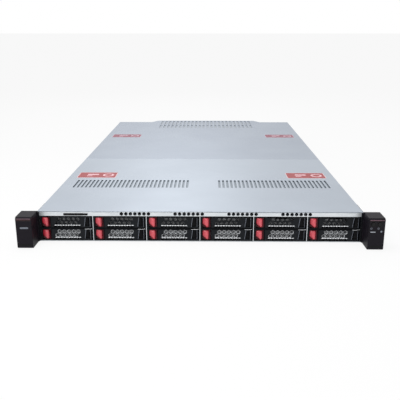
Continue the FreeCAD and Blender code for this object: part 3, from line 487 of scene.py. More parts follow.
finish = {
    # front and rear lids are one zinc coat in a lit and a shaded copy: the front painted lighter for its light, the
    # rear darker as painted shade
    "frontLid": electroGalvanisedSteel("electroGalvanisedSteelFrontPaintedLit", "B2BAC4", "ABB3BD"),
    "rearLid": electroGalvanisedSteel("electroGalvanisedSteelRearPaintedShade", "A8B0BB", "A1A9B5"),
    # the tray's tone is painted shade seen through the lid's slots
    "trayPaintedShade": electroGalvanisedSteel("electroGalvanisedSteelTrayPaintedShade", "8B949C", "828B94"),
    "pan": hotDipGalvanisedSteel(),
    "cage": brightZincSteel(),
    "bezel": sparkErodedAbs("sparkErodedAbsBezel", "15171B", "0C0D10", sheen=0.1),
    "lever": sparkErodedAbs("satinAbsLever", "191C21", "101215", rough=(0.32, 0.44), texture=0.4, sheen=0.12),
    "scoop": sparkErodedAbs("satinAbsScoopPaintedShade", "0C0C10", "060608", rough=(0.35, 0.5), texture=0.4, sheen=0.1),
    # lighter grey that paints edge highlights on the lever trims; the ear inlay uses it as its own colour
    "edgeHighlightAndInlay": sparkErodedAbs("lightAbsEdgeHighlightAndInlay", "7C818C", "5C6069", rough=(0.25, 0.35), texture=0.4),
    "release": polishedPolycarbonate("polishedPolycarbonateRed", "D8394E", "BE2438"),
    # the cap's ramp paints a highlight at its crest and shade down its flanks
    "releaseCap": paintedShadeCapPolycarbonate("polishedPolycarbonateRedCapPaintedShade",
                                      ["7A0E20", "9E192B", "AE2838", "B73341", "C43E4B", "D8545F"], 0.6, -1.4),
    # the skirt is the same red, darkened as painted shade round the button
    "releaseSkirtPaintedShade": polishedPolycarbonate("polishedPolycarbonateRedPaintedShade", "4A0812", "30040A", sheen=0.2),
    "ear": sparkErodedAbs("sparkErodedAbsEar", "15101A", "0C090F", texture=0.6, sheen=0.15),
    "browHighlight": sparkErodedAbs("polishedAbsBrowPaintedHighlight", "8C6F7A", "715662", rough=(0.25, 0.35), texture=0.4),
    "garnet": polishedPolycarbonate("polishedPolycarbonateGarnet", "2E1416", "220D10", sheen=0.25),
    "lensDim": polishedPolycarbonate("polishedPolycarbonateSmoke", "7B818C", "5C626D"),
    "key": polishedPolycarbonate("polishedPolycarbonateBlack", "0C0C0F", "060608", sheen=0.2),
    "tab": polishedPolycarbonate("polishedPolycarbonateTabAndGrooveShade", "08080A", "040405", sheen=0.15),
    "laminate": solderMaskLaminate("solderMaskGreen", "1E5A3A", "164A2F"),
    "mainBoard": solderMaskLaminate("solderMaskWithTinShells", "1E5A3A", "164A2F", shellsFrom=6.2),
    "module": solderMaskLaminate("solderMaskModule", "1F5C3E", "15432C"),
    "fan": sparkErodedAbs("glassFilledPbtFan", "1C1C1E", "101012"),
    "rotor": sparkErodedAbs("glassFilledPbtRotor", "202023", "141416", rough=(0.35, 0.5)),
    "sink": skivedAluminium(),
    "supply": nickelPlatedSteel("nickelPlatedSteel", "C0C1BE", "A9ABA9"),
    # one foil in a lit copy for the lower bays and a shaded copy for the upper bays: painted light and painted
    # shade
    "core": honeycombFoil("honeycombFoilPaintedLit", "F4F6F8", "D4D8DC"),
    "corePaintedShade": honeycombFoil("honeycombFoilPaintedShade", "2E3136", "1B1D21"),
    # near-white steel whose tone also paints highlights on the springs and on the latch strip
    "glintSteel": honeycombFoil("springSteelPaintedGlint", "F6F8FA", "DDE1E5"),
    # the rear set is a darker copy of the same print, painting the shade on the rear lid; the front set is the lit
    # copy
    "labelWhiteFront": printedVinyl("printedVinylBorderFront", "F0CBCE", "E9C1C4"),
    "labelRedFront": printedVinyl("printedVinylRedFront", "A3363B", "962E33"),
    "labelMarkFront": printedVinyl("printedVinylMarkFront", "F2C3CB", "EBB7C0"),
    "labelWhiteRear": printedVinyl("printedVinylBorderRearPaintedShade", "D3B0BE", "CBA6B4"),
    "labelRedRear": printedVinyl("printedVinylRedRearPaintedShade", "984C60", "8B4457"),
    "labelMarkRear": printedVinyl("printedVinylMarkRearPaintedShade", "D9B9C6", "CFADBB"),
    "castAluminium": castAluminium(),
    "paper": printedVinyl("blankPaperLabel", "E9E9E6", "E0E0DC"),
    "screw": nickelPlatedSteel("brightNickelScrew", "D2D3D0", "BEBFBC"),
    "chip": sparkErodedAbs("epoxyPackage", "1B1C1E", "131416", texture=0.3),
    "connector": sparkErodedAbs("mouldedNylonBlack", "1E1F22", "141517", texture=0.4),
    "ferrite": sparkErodedAbs("pressedFerrite", "4A4B4E", "3A3B3E", texture=0.3),
    "ceramic": sparkErodedAbs("sinteredCeramic", "8F8270", "5F574C", texture=2.0),
    "contact": nickelPlatedSteel("goldFlashedContact", "D9B45C", "C79F48"),
    "greenLens": polishedPolycarbonate("polishedPolycarbonateGreen", "5FBF7A", "48A765"),
    # the screen's tone is painted shade seen through the rear vents
    "screenPaintedShade": electroGalvanisedSteel("electroGalvanisedSteelScreenPaintedShade", "A6ADB5", "9CA3AC"),
    "lens": polishedPolycarbonate("polishedPolycarbonateLens", "B9BCC4", "8E929C"),
}

dressing = {
    "frontLid": ["front_cover"], "rearLid": ["rear_cover"], "pan": ["chassis_pan", "fasteners"],
    "cage": ["drive_cage", "riser_cage"], "bezel": ["drive_carrier_" + bay for bay in bays],
    "lever": ["carrier_lever_" + bay for bay in bays], "release": ["release_button_" + bay for bay in bays],
    "ear": ["left_ear", "right_ear"], "key": ["power_button", "uid_button"], "tab": ["label_tab"],
    "laminate": ["backplane"], "mainBoard": ["motherboard"], "module": ["memory_modules"],
    "fan": ["fan_frames"], "rotor": [f"fan_rotor_{number}" for number in range(1, 7)],
    "sink": ["cpu_heatsinks"], "supply": ["power_supply_1", "power_supply_2"],
}
for material, nodes in dressing.items():
    for node in nodes:
        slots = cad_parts[node].data.materials
        slots.clear()
        slots.append(finish[material])
print("materials dressed:", len(finish))

easedEdges = {
    # width in mm: nodes
    0.35: ["front_cover", "rear_cover"], 0.2: ["drive_cage", "chassis_pan"], 0.5: ["left_ear", "right_ear"],
    0.22: dressing["lever"], 0.15: dressing["bezel"],
}
for width, nodes in easedEdges.items():
    for node in nodes:
        easeEdges(width, node)


# ---- drive fronts: places are in millimetres from the low front corner of each carrier

bayCorner = {bay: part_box("drive_carrier_" + bay)[0] for bay in bays}
lowerBays = bays[0::2]

releaseCap = {
    "skirt": (2.6, 13.6, 1.3, 15.5),   # left, right, low, high
    "depth": 4.0,
    "valley": 1.2,                     # depth of the groove between skirt and dome
    # foot of the dome and its crest, point for point: a shield with its lower left corner cut away
    "foot": [(3.0, 13.0), (3.4, 14.3), (4.6, 14.9), (9.4, 14.9), (10.8, 14.3), (11.4, 13.0), (11.4, 9.0),
             (11.4, 4.6), (11.0, 2.9), (9.9, 2.0), (8.7, 2.0), (7.4, 3.0), (4.8, 5.3), (3.4, 6.8), (3.0, 8.2)],
    "crest": [(7.6, 12.0), (7.8, 12.5), (8.2, 12.7), (8.6, 12.7), (9.0, 12.5), (9.2, 12.0), (9.3, 9.0),
              (9.3, 6.2), (9.3, 4.4), (9.1, 3.5), (8.9, 3.5), (8.6, 4.2), (8.0, 6.4), (7.8, 7.8), (7.6, 9.2)],
    # share of the way from foot to crest, and depth there
    "profile": [(0.0, 1.2), (0.0, 0.6), (0.07, 0.15), (0.22, -0.3), (0.45, -0.75), (0.72, -1.15), (1.0, -1.4)],
}


def releaseCapRings():
    left, right, low, high = releaseCap["skirt"]
    middle = Vector(((left + right) / 2, (low + high) / 2))

    # the skirt's rectangle, with one point for each point of the dome
    def skirtRing(inset, depth):
        ring = []
        for x, z in releaseCap["foot"]:
            away = Vector((x, z)) - middle
            reach = min((right - middle.x - inset) / max(abs(away.x), 1e-6),
                        (high - middle.y - inset) / max(abs(away.y), 1e-6))
            ring.append((middle.x + away.x * reach, depth, middle.y + away.y * reach))
        return ring

    domeRings = [[(a + (c - a) * share, depth, b + (d - b) * share)
                  for (a, b), (c, d) in zip(releaseCap["foot"], releaseCap["crest"])]
                 for share, depth in releaseCap["profile"]]
    valley = releaseCap["valley"]
    return [skirtRing(0, releaseCap["depth"]), skirtRing(0, valley - 0.4), skirtRing(0.4, valley - 0.7),
            skirtRing(0.8, valley - 0.6)] + domeRings


capMesh = loft("releaseCap", releaseCapRings(), change=5, smoothAngle=50)
for item in ("releaseSkirtPaintedShade", "releaseCap"):
    capMesh.materials.append(finish[item])
for bay in bays:
    cap = meshPiece("releaseCap_" + bay, capMesh, None, "release_" + bay, bayCorner[bay])
    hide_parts("release_button_" + bay)

leverDetail = {
    "cells": (22.6, 6.8, 6.4, 4.5),    # first middle across and up, pitch, width of an opening
    "core": (16.7, 59.1, 3.6, 15.3),   # left, right, low, high
    "coreFront": 0.6,
    "coreDepth": 3.2,
    "beads": (20.9, 3.6, 10),          # first middle, pitch, count
    "bead": (2.1, 1.3, 0.35),          # width, height, proud
    "beadLevel": 4.0,
    "springStrip": (0.45, 1.6, -0.12, 0.25),   # height, reach past the last bead's middle, front, back
    "scoop": (60.8, 1.8, 5.0, 2.35, 15.1),     # left at the bottom, slope, width, low, high
    "scoopFit": 0.12,                  # between the lining and the scoop's edge
    "scoopFloor": (2.25, 1.6, 3.5),    # depth a quarter of the way across, fall to the sides, deepest
    "scoopDish": 0.9,
    "trim": (0.3, 0.1, 0.02),          # thickness, rounding, depth of the middle
    # light edge: a lighter strip that paints the highlight along the scoop's edge
    "scoopEdge": (1.0, 0.35),          # left and right side of the light edge, outside the scoop
    "hingeEdge": (0.25, 0.6, 0.6),     # left and right side, and how far it runs on below
    "latchSpringGlint": (60.2, 67.6, 70.2, 15.95, 0.4, 0.42),   # left, bend, right, level, rise, thickness
    "latchSheet": (0.4, 0.08, 0.02),   # thickness, rounding, depth of the middle
}


def leverCells(width):
    first, level, pitch, _ = leverDetail["cells"]
    return [regular(first + row * pitch / 2 + column * pitch, level + row * pitch * cos(radians(30)),
                    width / 2 / cos(radians(30)), 6, first=30)
            for row in (0, 1) for column in range(5)]


def coreMesh():
    depth, width = leverDetail["coreDepth"], leverDetail["cells"][3]
    return cutSheet("leverCore", [rectangle(*leverDetail["core"])] + leverCells(width), depth, turn=facingFront,
                    shift=(0, leverDetail["coreFront"] + depth / 2, 0))


# domed contact springs in a row, pressed from one strip and standing a little out of the face; near-white, which
# also paints highlights on them
def beadMesh():
    first, pitch, count = leverDetail["beads"]
    width, height, proud = leverDetail["bead"]
    level = leverDetail["beadLevel"]
    outline = roundedRectangle(-width / 2, width / 2, -height / 2, height / 2, height * 0.45)
    shape = bmesh.new()
    for column in range(count):
        middle = first + pitch * column
        skin(shape, [[shape.verts.new(at(middle + x * share, depth, level + z * share)) for x, z in outline]
                     for share, depth in ((1.0, 0.3), (1.0, 0.0), (0.82, -0.7 * proud), (0.4, -proud))])
    strip, past, front, back = leverDetail["springStrip"]
    addBlock(shape, (first - past, front, level - strip / 2),
             (first + pitch * (count - 1) + past, back, level + strip / 2))
    return closeMesh(shape, "leverSprings")


# lining of the finger scoop: a dished floor that rises to the hinge side, blacker than the lever to paint the shade
# in the recess
def scoopMesh(steps=8):
    left, slope, width, low, high = leverDetail["scoop"]
    fit, (floor, fall, deepest) = leverDetail["scoopFit"], leverDetail["scoopFloor"]
    shape = bmesh.new()
    rows = []
    for up in range(steps + 1):
        share = up / steps
        z = low + fit + (high - low - 2 * fit) * share
        start = left + slope * share + fit
        end = left + slope + width - fit
        bow = leverDetail["scoopDish"] * sin(pi * (0.15 + 0.7 * share))
        row = []
        for across in range(steps + 1):
            part = across / steps
            depth = floor - fall * (part - 0.25) ** 2 + bow * sin(pi * min(1.0, part * 1.15))
            row.append(shape.verts.new(at(start + (end - start) * part, min(depth, deepest), z)))
        rows.append(row)
    for near, far in zip(rows, rows[1:]):
        for i in range(steps):
            shape.faces.new((near[i], near[i + 1], far[i + 1], far[i]))
    bmesh.ops.solidify(shape, geom=shape.faces[:], thickness=0.1 * mm)
    return closeMesh(shape, "scoopLining", 60)


# raised strips along the scoop and the hinge side, lighter than the lever: painted highlights on their edges
def leverTrimMesh():
    left, slope, width, low, high = leverDetail["scoop"]
    right = left + slope + width
    outer, inner = leverDetail["scoopEdge"]
    start, end, below = leverDetail["hingeEdge"]
    thick, rounding, depth = leverDetail["trim"]
    return cutSheet("leverTrim", [
        [(left - outer, low), (left - inner, low), (left + slope - inner, high), (left + slope - outer, high)],
        rectangle(right + start, right + end, low - below, high)], thick, rounding, facingFront, (0, depth, 0))


# bright spring strip in the top rim of a carrier, turned up at the hinge side: a painted glint along the top edge,
# drawn on the lower bays only
def glintStripMesh():
    left, bend, right, low, rise, high = leverDetail["latchSpringGlint"]
    thick, rounding, depth = leverDetail["latchSheet"]
    outline = [(left, low), (bend, low), (right, low + rise), (right, low + rise + high), (bend, low + high),
               (left, low + high)]
    return cutSheet("latchSpringGlint", [outline], thick, rounding, facingFront, (0, depth, 0))


coreShape, beadShape, scoopShape, trimShape = coreMesh(), beadMesh(), scoopMesh(), leverTrimMesh()
glintStripShape = glintStripMesh()
# lower bays take the lit copy of the core and upper bays the shaded copy, as painted light and shade
corePaintedLit, corePaintedShade = coreShape, coreShape.copy()
corePaintedLit.materials.append(finish["core"])
corePaintedShade.materials.append(finish["corePaintedShade"])
for bay in bays:
    lever = "lever_" + bay
    meshPiece("leverCore_" + bay, corePaintedLit if bay in lowerBays else corePaintedShade, None, lever, bayCorner[bay])
    meshPiece("leverSprings_" + bay, beadShape, "glintSteel", lever, bayCorner[bay])
    meshPiece("scoopLining_" + bay, scoopShape, "scoop", lever, bayCorner[bay])
    meshPiece("leverTrim_" + bay, trimShape, "edgeHighlightAndInlay", lever, bayCorner[bay])
    # the glint strip goes on the lower bays only
    if bay in lowerBays:
        meshPiece("latchSpringGlint_" + bay, glintStripShape, "glintSteel", "carrier_" + bay, bayCorner[bay])
print("drive fronts built:", len(bays))


# ---- lids: a grey tray under the slots whose tone paints the shade seen through them, and four service labels

lidSheet = 1.0
slotTray = {
    "left": -203.0, "right": 204.5,
    "front": 117.5, "rear": 170.5,     # depth
    "drop": 0.7,                       # mm under the lid's sheet
    "sheet": 0.5,
    "lap": 0.1,                        # mm that its walls reach into its floor
}


def slotTrayMesh():
    left, right, sheet, lap = (slotTray[k] for k in ("left", "right", "sheet", "lap"))
    front, rear = driveFace / mm + slotTray["front"], driveFace / mm + slotTray["rear"]
    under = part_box("front_cover")[1].z / mm - lidSheet
    top = under - slotTray["drop"]
    walls = [(left, right, front, front + sheet), (left, right, rear - sheet, rear),
             (left, left + sheet, front, rear), (right - sheet, right, front, rear)]
    return blocks("slotTray", [((left, front, top - sheet), (right, rear, top))]
                  + [((a, c, top - lap), (b, d, under)) for a, b, c, d in walls], 0.08)


meshPiece("slotTray", slotTrayMesh(), "trayPaintedShade", "front_lid")

labels = {
    # name: body, left, right, front and rear depth, which set of label materials
    "serviceLabelFrontLeft": ("front_lid", -206.0, -142.0, 181, 217, "front"),
    "serviceLabelFrontRight": ("front_lid", 142.0, 206.0, 181, 217, "front"),
    "serviceLabelRearLeft": ("rear_lid", -206.0, -142.0, 548, 584, "rear"),
    "serviceLabelRearRight": ("rear_lid", 142.0, 206.0, 548, 584, "rear"),
}
labelBuild = {
    "film": 0.05,        # mm over the sheet
    "border": 1.0,
    "print": 0.035,      # thickness of the printed layers
    "corners": (2.4, 1.6),
    # left, right, low and high side as shares of the label's size from its middle, and corner in mm
    "bars": ((-0.27, 0.02, 0.0, 0.2, 1.2), (-0.27, -0.12, -0.22, -0.12, 1.0)),
    "ring": (0.28, 0.26, 0.17),   # middle as a share of the width, radii as shares of the depth
}


def addLabel(name, body, left, right, front, rear, tone):
    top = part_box("front_cover")[1].z / mm
    film, layer, border = labelBuild["film"], labelBuild["print"], labelBuild["border"]
    outer, inner = labelBuild["corners"]
    wide, deep = right - left, rear - front
    bars = [roundedRectangle(a * wide, b * wide, c * deep, d * deep, corner)
            for a, b, c, d, corner in labelBuild["bars"]]
    middle, *radii = labelBuild["ring"]
    layers = [
        ("Film", [roundedRectangle(-wide / 2, wide / 2, -deep / 2, deep / 2, outer)], "labelWhite"),
        ("Ground", [roundedRectangle(border - wide / 2, wide / 2 - border, border - deep / 2, deep / 2 - border,
                                     inner)], "labelRed"),
        ("Marks", bars + [regular(wide * middle, 0, deep * radius, 28) for radius in radii], "labelMark"),
    ]
    for level, (part, outlines, material) in enumerate(layers):
        height = top + (film + layer * (level - 0.5) if level else film / 2)
        meshPiece(name + part, cutSheet(name + part, outlines, layer if level else film),
                  material + tone.capitalize(), body, spot((left + right) / 2, (front + rear) / 2, height))


for name, values in labels.items():
    addLabel(name, *values)
print("lid pieces built:", 1 + len(labels))


# ---- rack ears: lenses, key bezels, an inlay and trims, all generic

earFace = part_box("right_ear")[0].y / mm
earDetail = {
    "keyRing": (4.1, 3.1),                         # outer and inner radius round each key
    "lightBar": (222.6, 229.4, 24.0, 25.3, 0.6),   # left, right, low, high, corner
    "smallLens": (236.9, 25.4, 1.3),
    "keyMarks": ((223.6, 29.6), (232.9, 29.6)),
    "markRing": (1.25, 0.75),
    "inlay": (-236.0, -225.0, 27.0, 29.4, 1.0),
}


def keyRings():
    middles = [sum(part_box(node), Vector()) / 2 / mm for node in ("power_button", "uid_button")]
    return [regular(middle.x, middle.z, radius, 28) for middle in middles for radius in earDetail["keyRing"]]


earSheets = {
    # name: outlines, thickness, rounding, finish, depth of the middle behind the ear's face
    "keyBezels": (keyRings(), 0.5, 0.12, "key", 0.08),
    "earLenses": ([roundedRectangle(*earDetail["lightBar"])], 0.5, 0.12, "lens", 0.19),
    "keyMarks": ([regular(x, z, radius, 16) for radius in earDetail["markRing"] for x, z in earDetail["keyMarks"]]
                 + [regular(*earDetail["smallLens"], 20)], 0.3, 0.0, "lensDim", 0.12),
    "earInlay": ([roundedRectangle(*earDetail["inlay"])], 0.4, 0.1, "edgeHighlightAndInlay", 0.15),
}
earTrims = {
    # name: inner and outer edge from the middle, low, high, thickness, finish, depth of the middle
    # the brow strip is a pale trim that paints the highlight along the ear's top edge
    "earBrowPaintedHighlight": (221.3, 240.3, 40.5, 41.1, 0.5, "browHighlight", earFace + 0.03),
    # the groove strip is a black sheet that paints the shade of a groove near the ear's foot; the label tab uses
    # the same black as its own colour
    "earGroovePaintedShade": (221.3, 240.3, 3.2, 5.4, 0.24, "tab", earFace + 0.03),
    "earBand": (221.3, 240.3, 37.9, 40.3, 0.24, "garnet", earFace + 0.05),
    "sideTrim": (217.45, 219.3, 0.8, 41.9, 0.5, "bezel", driveFace / mm - 0.28),
}
raisedTrims = {"earBand_right": 39.75}   # piece: its own low side, here to clear the keys
for name, (outlines, thick, rounding, material, depth) in earSheets.items():
    frontSheet(name, outlines, thick, rounding, material, "chassis", earFace + depth)
for ear, side in (("left", -1), ("right", 1)):
    for trim, (near, far, low, high, thick, material, level) in earTrims.items():
        name = f"{trim}_{ear}"
        outline = roundedRectangle(*sorted((side * near, side * far)), raisedTrims.get(name, low), high, 0.3, 3)
        frontSheet(name, [outline], thick, 0.08, material, "chassis", level)
print("ear pieces built")


# ---- drives: metal cases with blank labels, shown when a carrier is pulled out

driveCase = {
    "box": (0.66, 70.59, 14.06, 114.6, 0.84, 15.96),   # mm from the carrier's low corner, over the plain block
    "rim": 1.6,
    "recess": 0.35,
    "label": (12.0, 60.0, 34.0, 96.0, 1.5),            # left, right, front, rear, corner
    "screws": ((4.2, 67.0), (18.0, 64.0, 110.6)),      # across, depth
}


def driveCaseMesh():
    left, right, front, rear, low, high = driveCase["box"]
    rim, recess = driveCase["rim"], driveCase["recess"]

    def ring(inset, z):
        outline = roundedRectangle(left + inset, right - inset, front + inset, rear - inset, 1.2)
        return [(x, y, z) for x, y in outline]

    return loft("driveCase", [ring(0.4, low), ring(0, low + 0.4), ring(0, high - 0.3), ring(0.3, high),
                              ring(rim, high), ring(rim + 0.5, high - recess + 0.3)])


def driveLabelMesh():
    top = driveCase["box"][5] - driveCase["recess"] + 0.34
    return cutSheet("driveLabel", [roundedRectangle(*driveCase["label"])], 0.06, shift=(0, 0, top))


# round head with a chamfer and a socket
def screwMesh(name, places, radius, height, turn=Matrix()):
    profile = [(radius, 0), (radius, height * 0.55), (radius * 0.8, height), (radius * 0.45, height),
               (radius * 0.45, height * 0.55)]
    return turned(name, profile, places, steps=18, turn=turn)


caseShape, labelShape = driveCaseMesh(), driveLabelMesh()
across, along = driveCase["screws"]
caseScrews = screwMesh("driveScrews", [(x, y, driveCase["box"][5] - 0.05) for x in across for y in along],
                       1.3, 0.35)
for bay in bays:
    carrier = "carrier_" + bay
    meshPiece("driveCase_" + bay, caseShape, "castAluminium", carrier, bayCorner[bay])
    meshPiece("driveLabel_" + bay, labelShape, "paper", carrier, bayCorner[bay])
    meshPiece("driveScrews_" + bay, caseScrews, "screw", carrier, bayCorner[bay])

tabLow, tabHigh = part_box("label_tab")
tabPieces = {
    "lip": (0.5, 7.0, 0.15, 0.1, 0.5),   # left, right, low and high side from the tab's own sides, corner
    "lipSheet": (1.3, 0.3, 0.67),        # thickness, rounding, middle in front of the tab
    "card": (11.0, 24.0, 1.0, 0.06),     # half width, half length, corner, thickness
    "cardPlace": (4.0, 1.23),            # behind the tab's middle, over its low side
}
left, right, low, high, corner = tabPieces["lip"]
thick, rounding, out = tabPieces["lipSheet"]
frontSheet("tabLip", [roundedRectangle(tabLow.x / mm + left, tabHigh.x / mm + right, tabLow.z / mm + low,
                                       tabHigh.z / mm + high, corner)],
           thick, rounding, "tab", "tab", tabLow.y / mm - out)
wide, long, corner, thick = tabPieces["card"]
back, up = tabPieces["cardPlace"]
meshPiece("tabCard", cutSheet("tabCard", [roundedRectangle(-wide, wide, -long, long, corner)], thick),
          "paper", "tab",
          Vector(((tabLow.x + tabHigh.x) / 2, (tabLow.y + tabHigh.y) / 2 + back * mm, tabLow.z + up * mm)))
print("drive cases built")


# ---- inside: memory boards, cooler fins, parts on the main board, fan hubs

boardTop = 5.6
memory = {
    "first": (24.2, 153.8), "pitch": 7.6, "count": 6,
    "middle": 354.825, "length": 133.35,     # depth
    "low": 11.6, "high": 38.05,
    "board": 1.3, "chip": 1.0,
    "chips": 9, "chipLength": 10.5, "chipLevels": (15.2, 33.0),
}


def memoryMeshes():
    boards, chips = [], []
    y = driveFace / mm + memory["middle"]
    board, chip, count, length = (memory[k] for k in ("board", "chip", "chips", "length"))
    middles = [side * (first + number * memory["pitch"]) for side in (-1, 1) for first in memory["first"]
               for number in range(memory["count"])]
    for x in middles:
        boards.append(around(x, y, board, length, memory["low"], memory["high"]))
        chips += [around(x + face * (board + chip) / 2, y + (place - (count - 1) / 2) * length / count, chip,
                         memory["chipLength"], *memory["chipLevels"]) for place in range(count) for face in (-1, 1)]
    return blocks("memoryBoards", boards), blocks("memoryChips", chips)


boardShape, chipShape = memoryMeshes()
boards = meshPiece("memoryBoards", boardShape, "module", "chassis")
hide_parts("memory_modules")
meshPiece("memoryChips", chipShape, "chip", "chassis")

cooler = {
    "offset": 108.0, "fins": 10, "pitch": 7.4, "between": 2, "fin": 0.7,
    "middle": 354.15, "length": 106.0,       # depth
    "low": 12.0, "high": 39.6,
    "screw": (33.5, 46.0),                   # across and along from the middle
}


def coolerMeshes():
    y, low, gaps = driveFace / mm + cooler["middle"], cooler["low"], cooler["between"] + 1
    across, along = cooler["screw"]
    fins, places = [], []
    for centre in (-cooler["offset"], cooler["offset"]):
        fins += [around(centre + (gap - cooler["fins"] / 2 + extra / gaps) * cooler["pitch"], y, cooler["fin"],
                        cooler["length"], low - 0.1, cooler["high"])
                 for gap in range(cooler["fins"]) for extra in range(1, gaps)]
        places += [(centre + a * across, y + b * along, low) for a in (-1, 1) for b in (-1, 1)]
    return blocks("coolerFins", fins), screwMesh("coolerScrews", places, 1.7, 3.0)


finShape, coolerScrews = coolerMeshes()
meshPiece("coolerFins", finShape, "sink", "chassis")
meshPiece("coolerScrews", coolerScrews, "screw", "chassis")

boardParts = {
    # (x, depth, width, length, height) of black packages, connectors and coils
    "packages": [(-60, 480, 26, 26, 1.6), (60, 500, 14, 14, 1.2), (-130, 470, 18, 12, 1.2), (135, 530, 20, 14, 1.4),
                 (-20, 540, 10, 10, 1.2), (110, 470, 9, 9, 1.0), (-150, 540, 24, 24, 1.6), (20, 460, 12, 8, 1.0)],
    "connectors": [(-185, 480, 8, 42, 9), (185, 480, 8, 42, 9), (-90, 560, 52, 7, 8), (70, 560, 40, 7, 8),
                   (-10, 600, 90, 7.5, 11), (-190, 545, 10, 22, 12), (190, 545, 10, 22, 12)],
    "coils": [(x, depth, 7, 7, 5) for x in (*range(-146, -80, 10), *range(70, 131, 10)) for depth in (428, 440)],
    "cans": [(x, 452) for x in (*range(-150, -99, 10), *range(66, 117, 10))]
            + [(x, 262) for x in (-190, -176, -162, -40, -26, -12, 12, 26, 40, 162, 176, 190)],
    "scatter": ((-195, 195, 425, 568, 150), (-110, 110, 578, 640, 60), (-195, 195, 250, 285, 60)),
}


def boardMeshes():
    base = driveFace / mm

    def boxes(rows):
        return [around(x, base + depth, wide, long, boardTop - 0.05, boardTop + high)
                for x, depth, wide, long, high in rows]

    dice = random.Random(7)
    small = []
    for left, right, front, rear, count in boardParts["scatter"]:
        for _ in range(count):
            wide, long = dice.choice([(1.6, 0.9), (0.9, 1.6), (2.2, 1.3), (3.2, 1.8), (1.4, 2.4)])
            small.append((dice.uniform(left, right), dice.uniform(front, rear), wide, long, dice.uniform(0.5, 1.1)))
    cans = turned("boardCans", [(3.2, 0), (3.2, 6.2), (3.05, 6.6), (2.4, 6.8), (2.2, 6.6)],
                  [(x, base + depth, boardTop) for x, depth in boardParts["cans"]], steps=16)
    return (blocks("boardPackages", boxes(boardParts["packages"]), 0.15),
            blocks("boardConnectors", boxes(boardParts["connectors"]), 0.3),
            blocks("boardCoils", boxes(boardParts["coils"]), 0.6),
            blocks("boardSmall", boxes(small)), cans)


for mesh, material in zip(boardMeshes(), ("chip", "connector", "ferrite", "ceramic", "screw")):
    meshPiece(mesh.name, mesh, material, "chassis")

fanHub = {
    # radius and height of the turned cap
    "profile": [(9.0, -0.4), (9.0, 0.2), (8.1, 0.84), (5.4, 1.4), (1.8, 1.47)],
    "sink": 0.1,         # mm into the rotor's front
}
for number in range(1, 7):
    low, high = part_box(f"fan_rotor_{number}")
    cap = turned(f"fanHub_{number}", fanHub["profile"], [(0, 0, 0)], turn=facingFront)
    meshPiece(f"fanHub_{number}", cap, "rotor", f"rotor_{number}",
              Vector(((low.x + high.x) / 2, low.y + fanHub["sink"] * mm, (low.z + high.z) / 2)))
print("inside built")


# ---- rear: inlets, ports, vent meshes, screws and the supplies' latches

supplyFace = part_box("power_supply_1")[1].y / mm - 20.0   # the handle stands 20 mm out
inlet = {
    "left": 40.4, "width": 27.6, "low": 3.0, "height": 20.0,   # from the supply's low corner
    "fit": 0.15, "lining": 1.5, "cut": 4.2, "deep": 15.6,
    "pins": ((-7.0, -1.6), (7.0, -1.6), (0.0, 2.6)),
    "pin": (2.0, 4.0, 15.9, 3.4),      # width, height, root and tip behind the face
}
supplyDetail = {
    "lamp": (62.5, 32.0, 1.5),                     # across, up, radius
    "latch": (44.0, 56.0, 27.5, 36.0, 9.0, 2.2),   # left, right, low, high, reach, thickness
    "grille": (2.2, 30.0, 4.0, 36.3),              # left, right, low, high
    "holes": (4.6, 6.6, 3.3, 2.86, 1.45),          # first across and up, pitch across and up, radius
    "rows": 10, "columns": 7,                      # every second row has one hole more
}


def addSupplyPieces(number):
    body = f"supply_{number}"
    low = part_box(f"power_supply_{number}")[0] / mm
    left, bottom = low.x + inlet["left"], low.z + inlet["low"]
    right, top = left + inlet["width"], bottom + inlet["height"]
    fit, lining, cut, deep = (inlet[k] for k in ("fit", "lining", "cut", "deep"))
    a, b, c, d = left + lining, right - lining, bottom + lining, top - lining
    inner = [(a, c), (b, c), (b, d - cut), (b - cut, d), (a + cut, d), (a, d - cut)]
    frontSheet(f"inletLining_{number}", [rectangle(left + fit, right - fit, bottom + fit, top - fit), inner],
               deep, 0.0, "connector", body, supplyFace - deep / 2 + 0.05)
    wide, high, root, tip = inlet["pin"]
    places = [((left + right) / 2 + x, (bottom + top) / 2 + z) for x, z in inlet["pins"]]
    pins = blocks(f"inletPins_{number}", [((x - wide / 2, supplyFace - root, z - high / 2),
                                           (x + wide / 2, supplyFace - tip, z + high / 2)) for x, z in places], 0.5)
    meshPiece(f"inletPins_{number}", pins, "contact", body)
    x, z, radius = supplyDetail["lamp"]
    profile = [(radius, 0.3), (radius, -0.3), (radius * 0.7, -0.7), (radius * 0.2, -0.8)]
    lamp = turned(f"supplyLamp_{number}", profile, [(0, 0, 0)], steps=18, turn=facingFront)
    meshPiece(f"supplyLamp_{number}", lamp, "greenLens", body, at(low.x + x, supplyFace, low.z + z))
    left, right, bottom, top, out, thick = supplyDetail["latch"]
    left, right, bottom, top, out = low.x + left, low.x + right, low.z + bottom, low.z + top, supplyFace + out
    latch = blocks(f"supplyLatch_{number}", [((left, supplyFace - 0.2, bottom), (left + thick, out, top)),
                                             ((left, out - thick, bottom), (right, out, top))], 0.5)
    meshPiece(f"supplyLatch_{number}", latch, "release", body)
    left, right, bottom, top = supplyDetail["grille"]
    x, z, pitch, rise, radius = supplyDetail["holes"]
    holes = [regular(low.x + x + pitch * (column + (row % 2) / 2), low.z + z + rise * row, radius, 6, first=30)
             for column in range(supplyDetail["columns"] + 1) for row in range(supplyDetail["rows"])
             if column < supplyDetail["columns"] or row % 2 == 0]
    frontSheet(f"supplyGrille_{number}", [rectangle(low.x + left, low.x + right, low.z + bottom, low.z + top)]
               + holes, 0.8, 0.0, "supply", body, supplyFace + 0.35)


for number in (1, 2):
    addSupplyPieces(number)

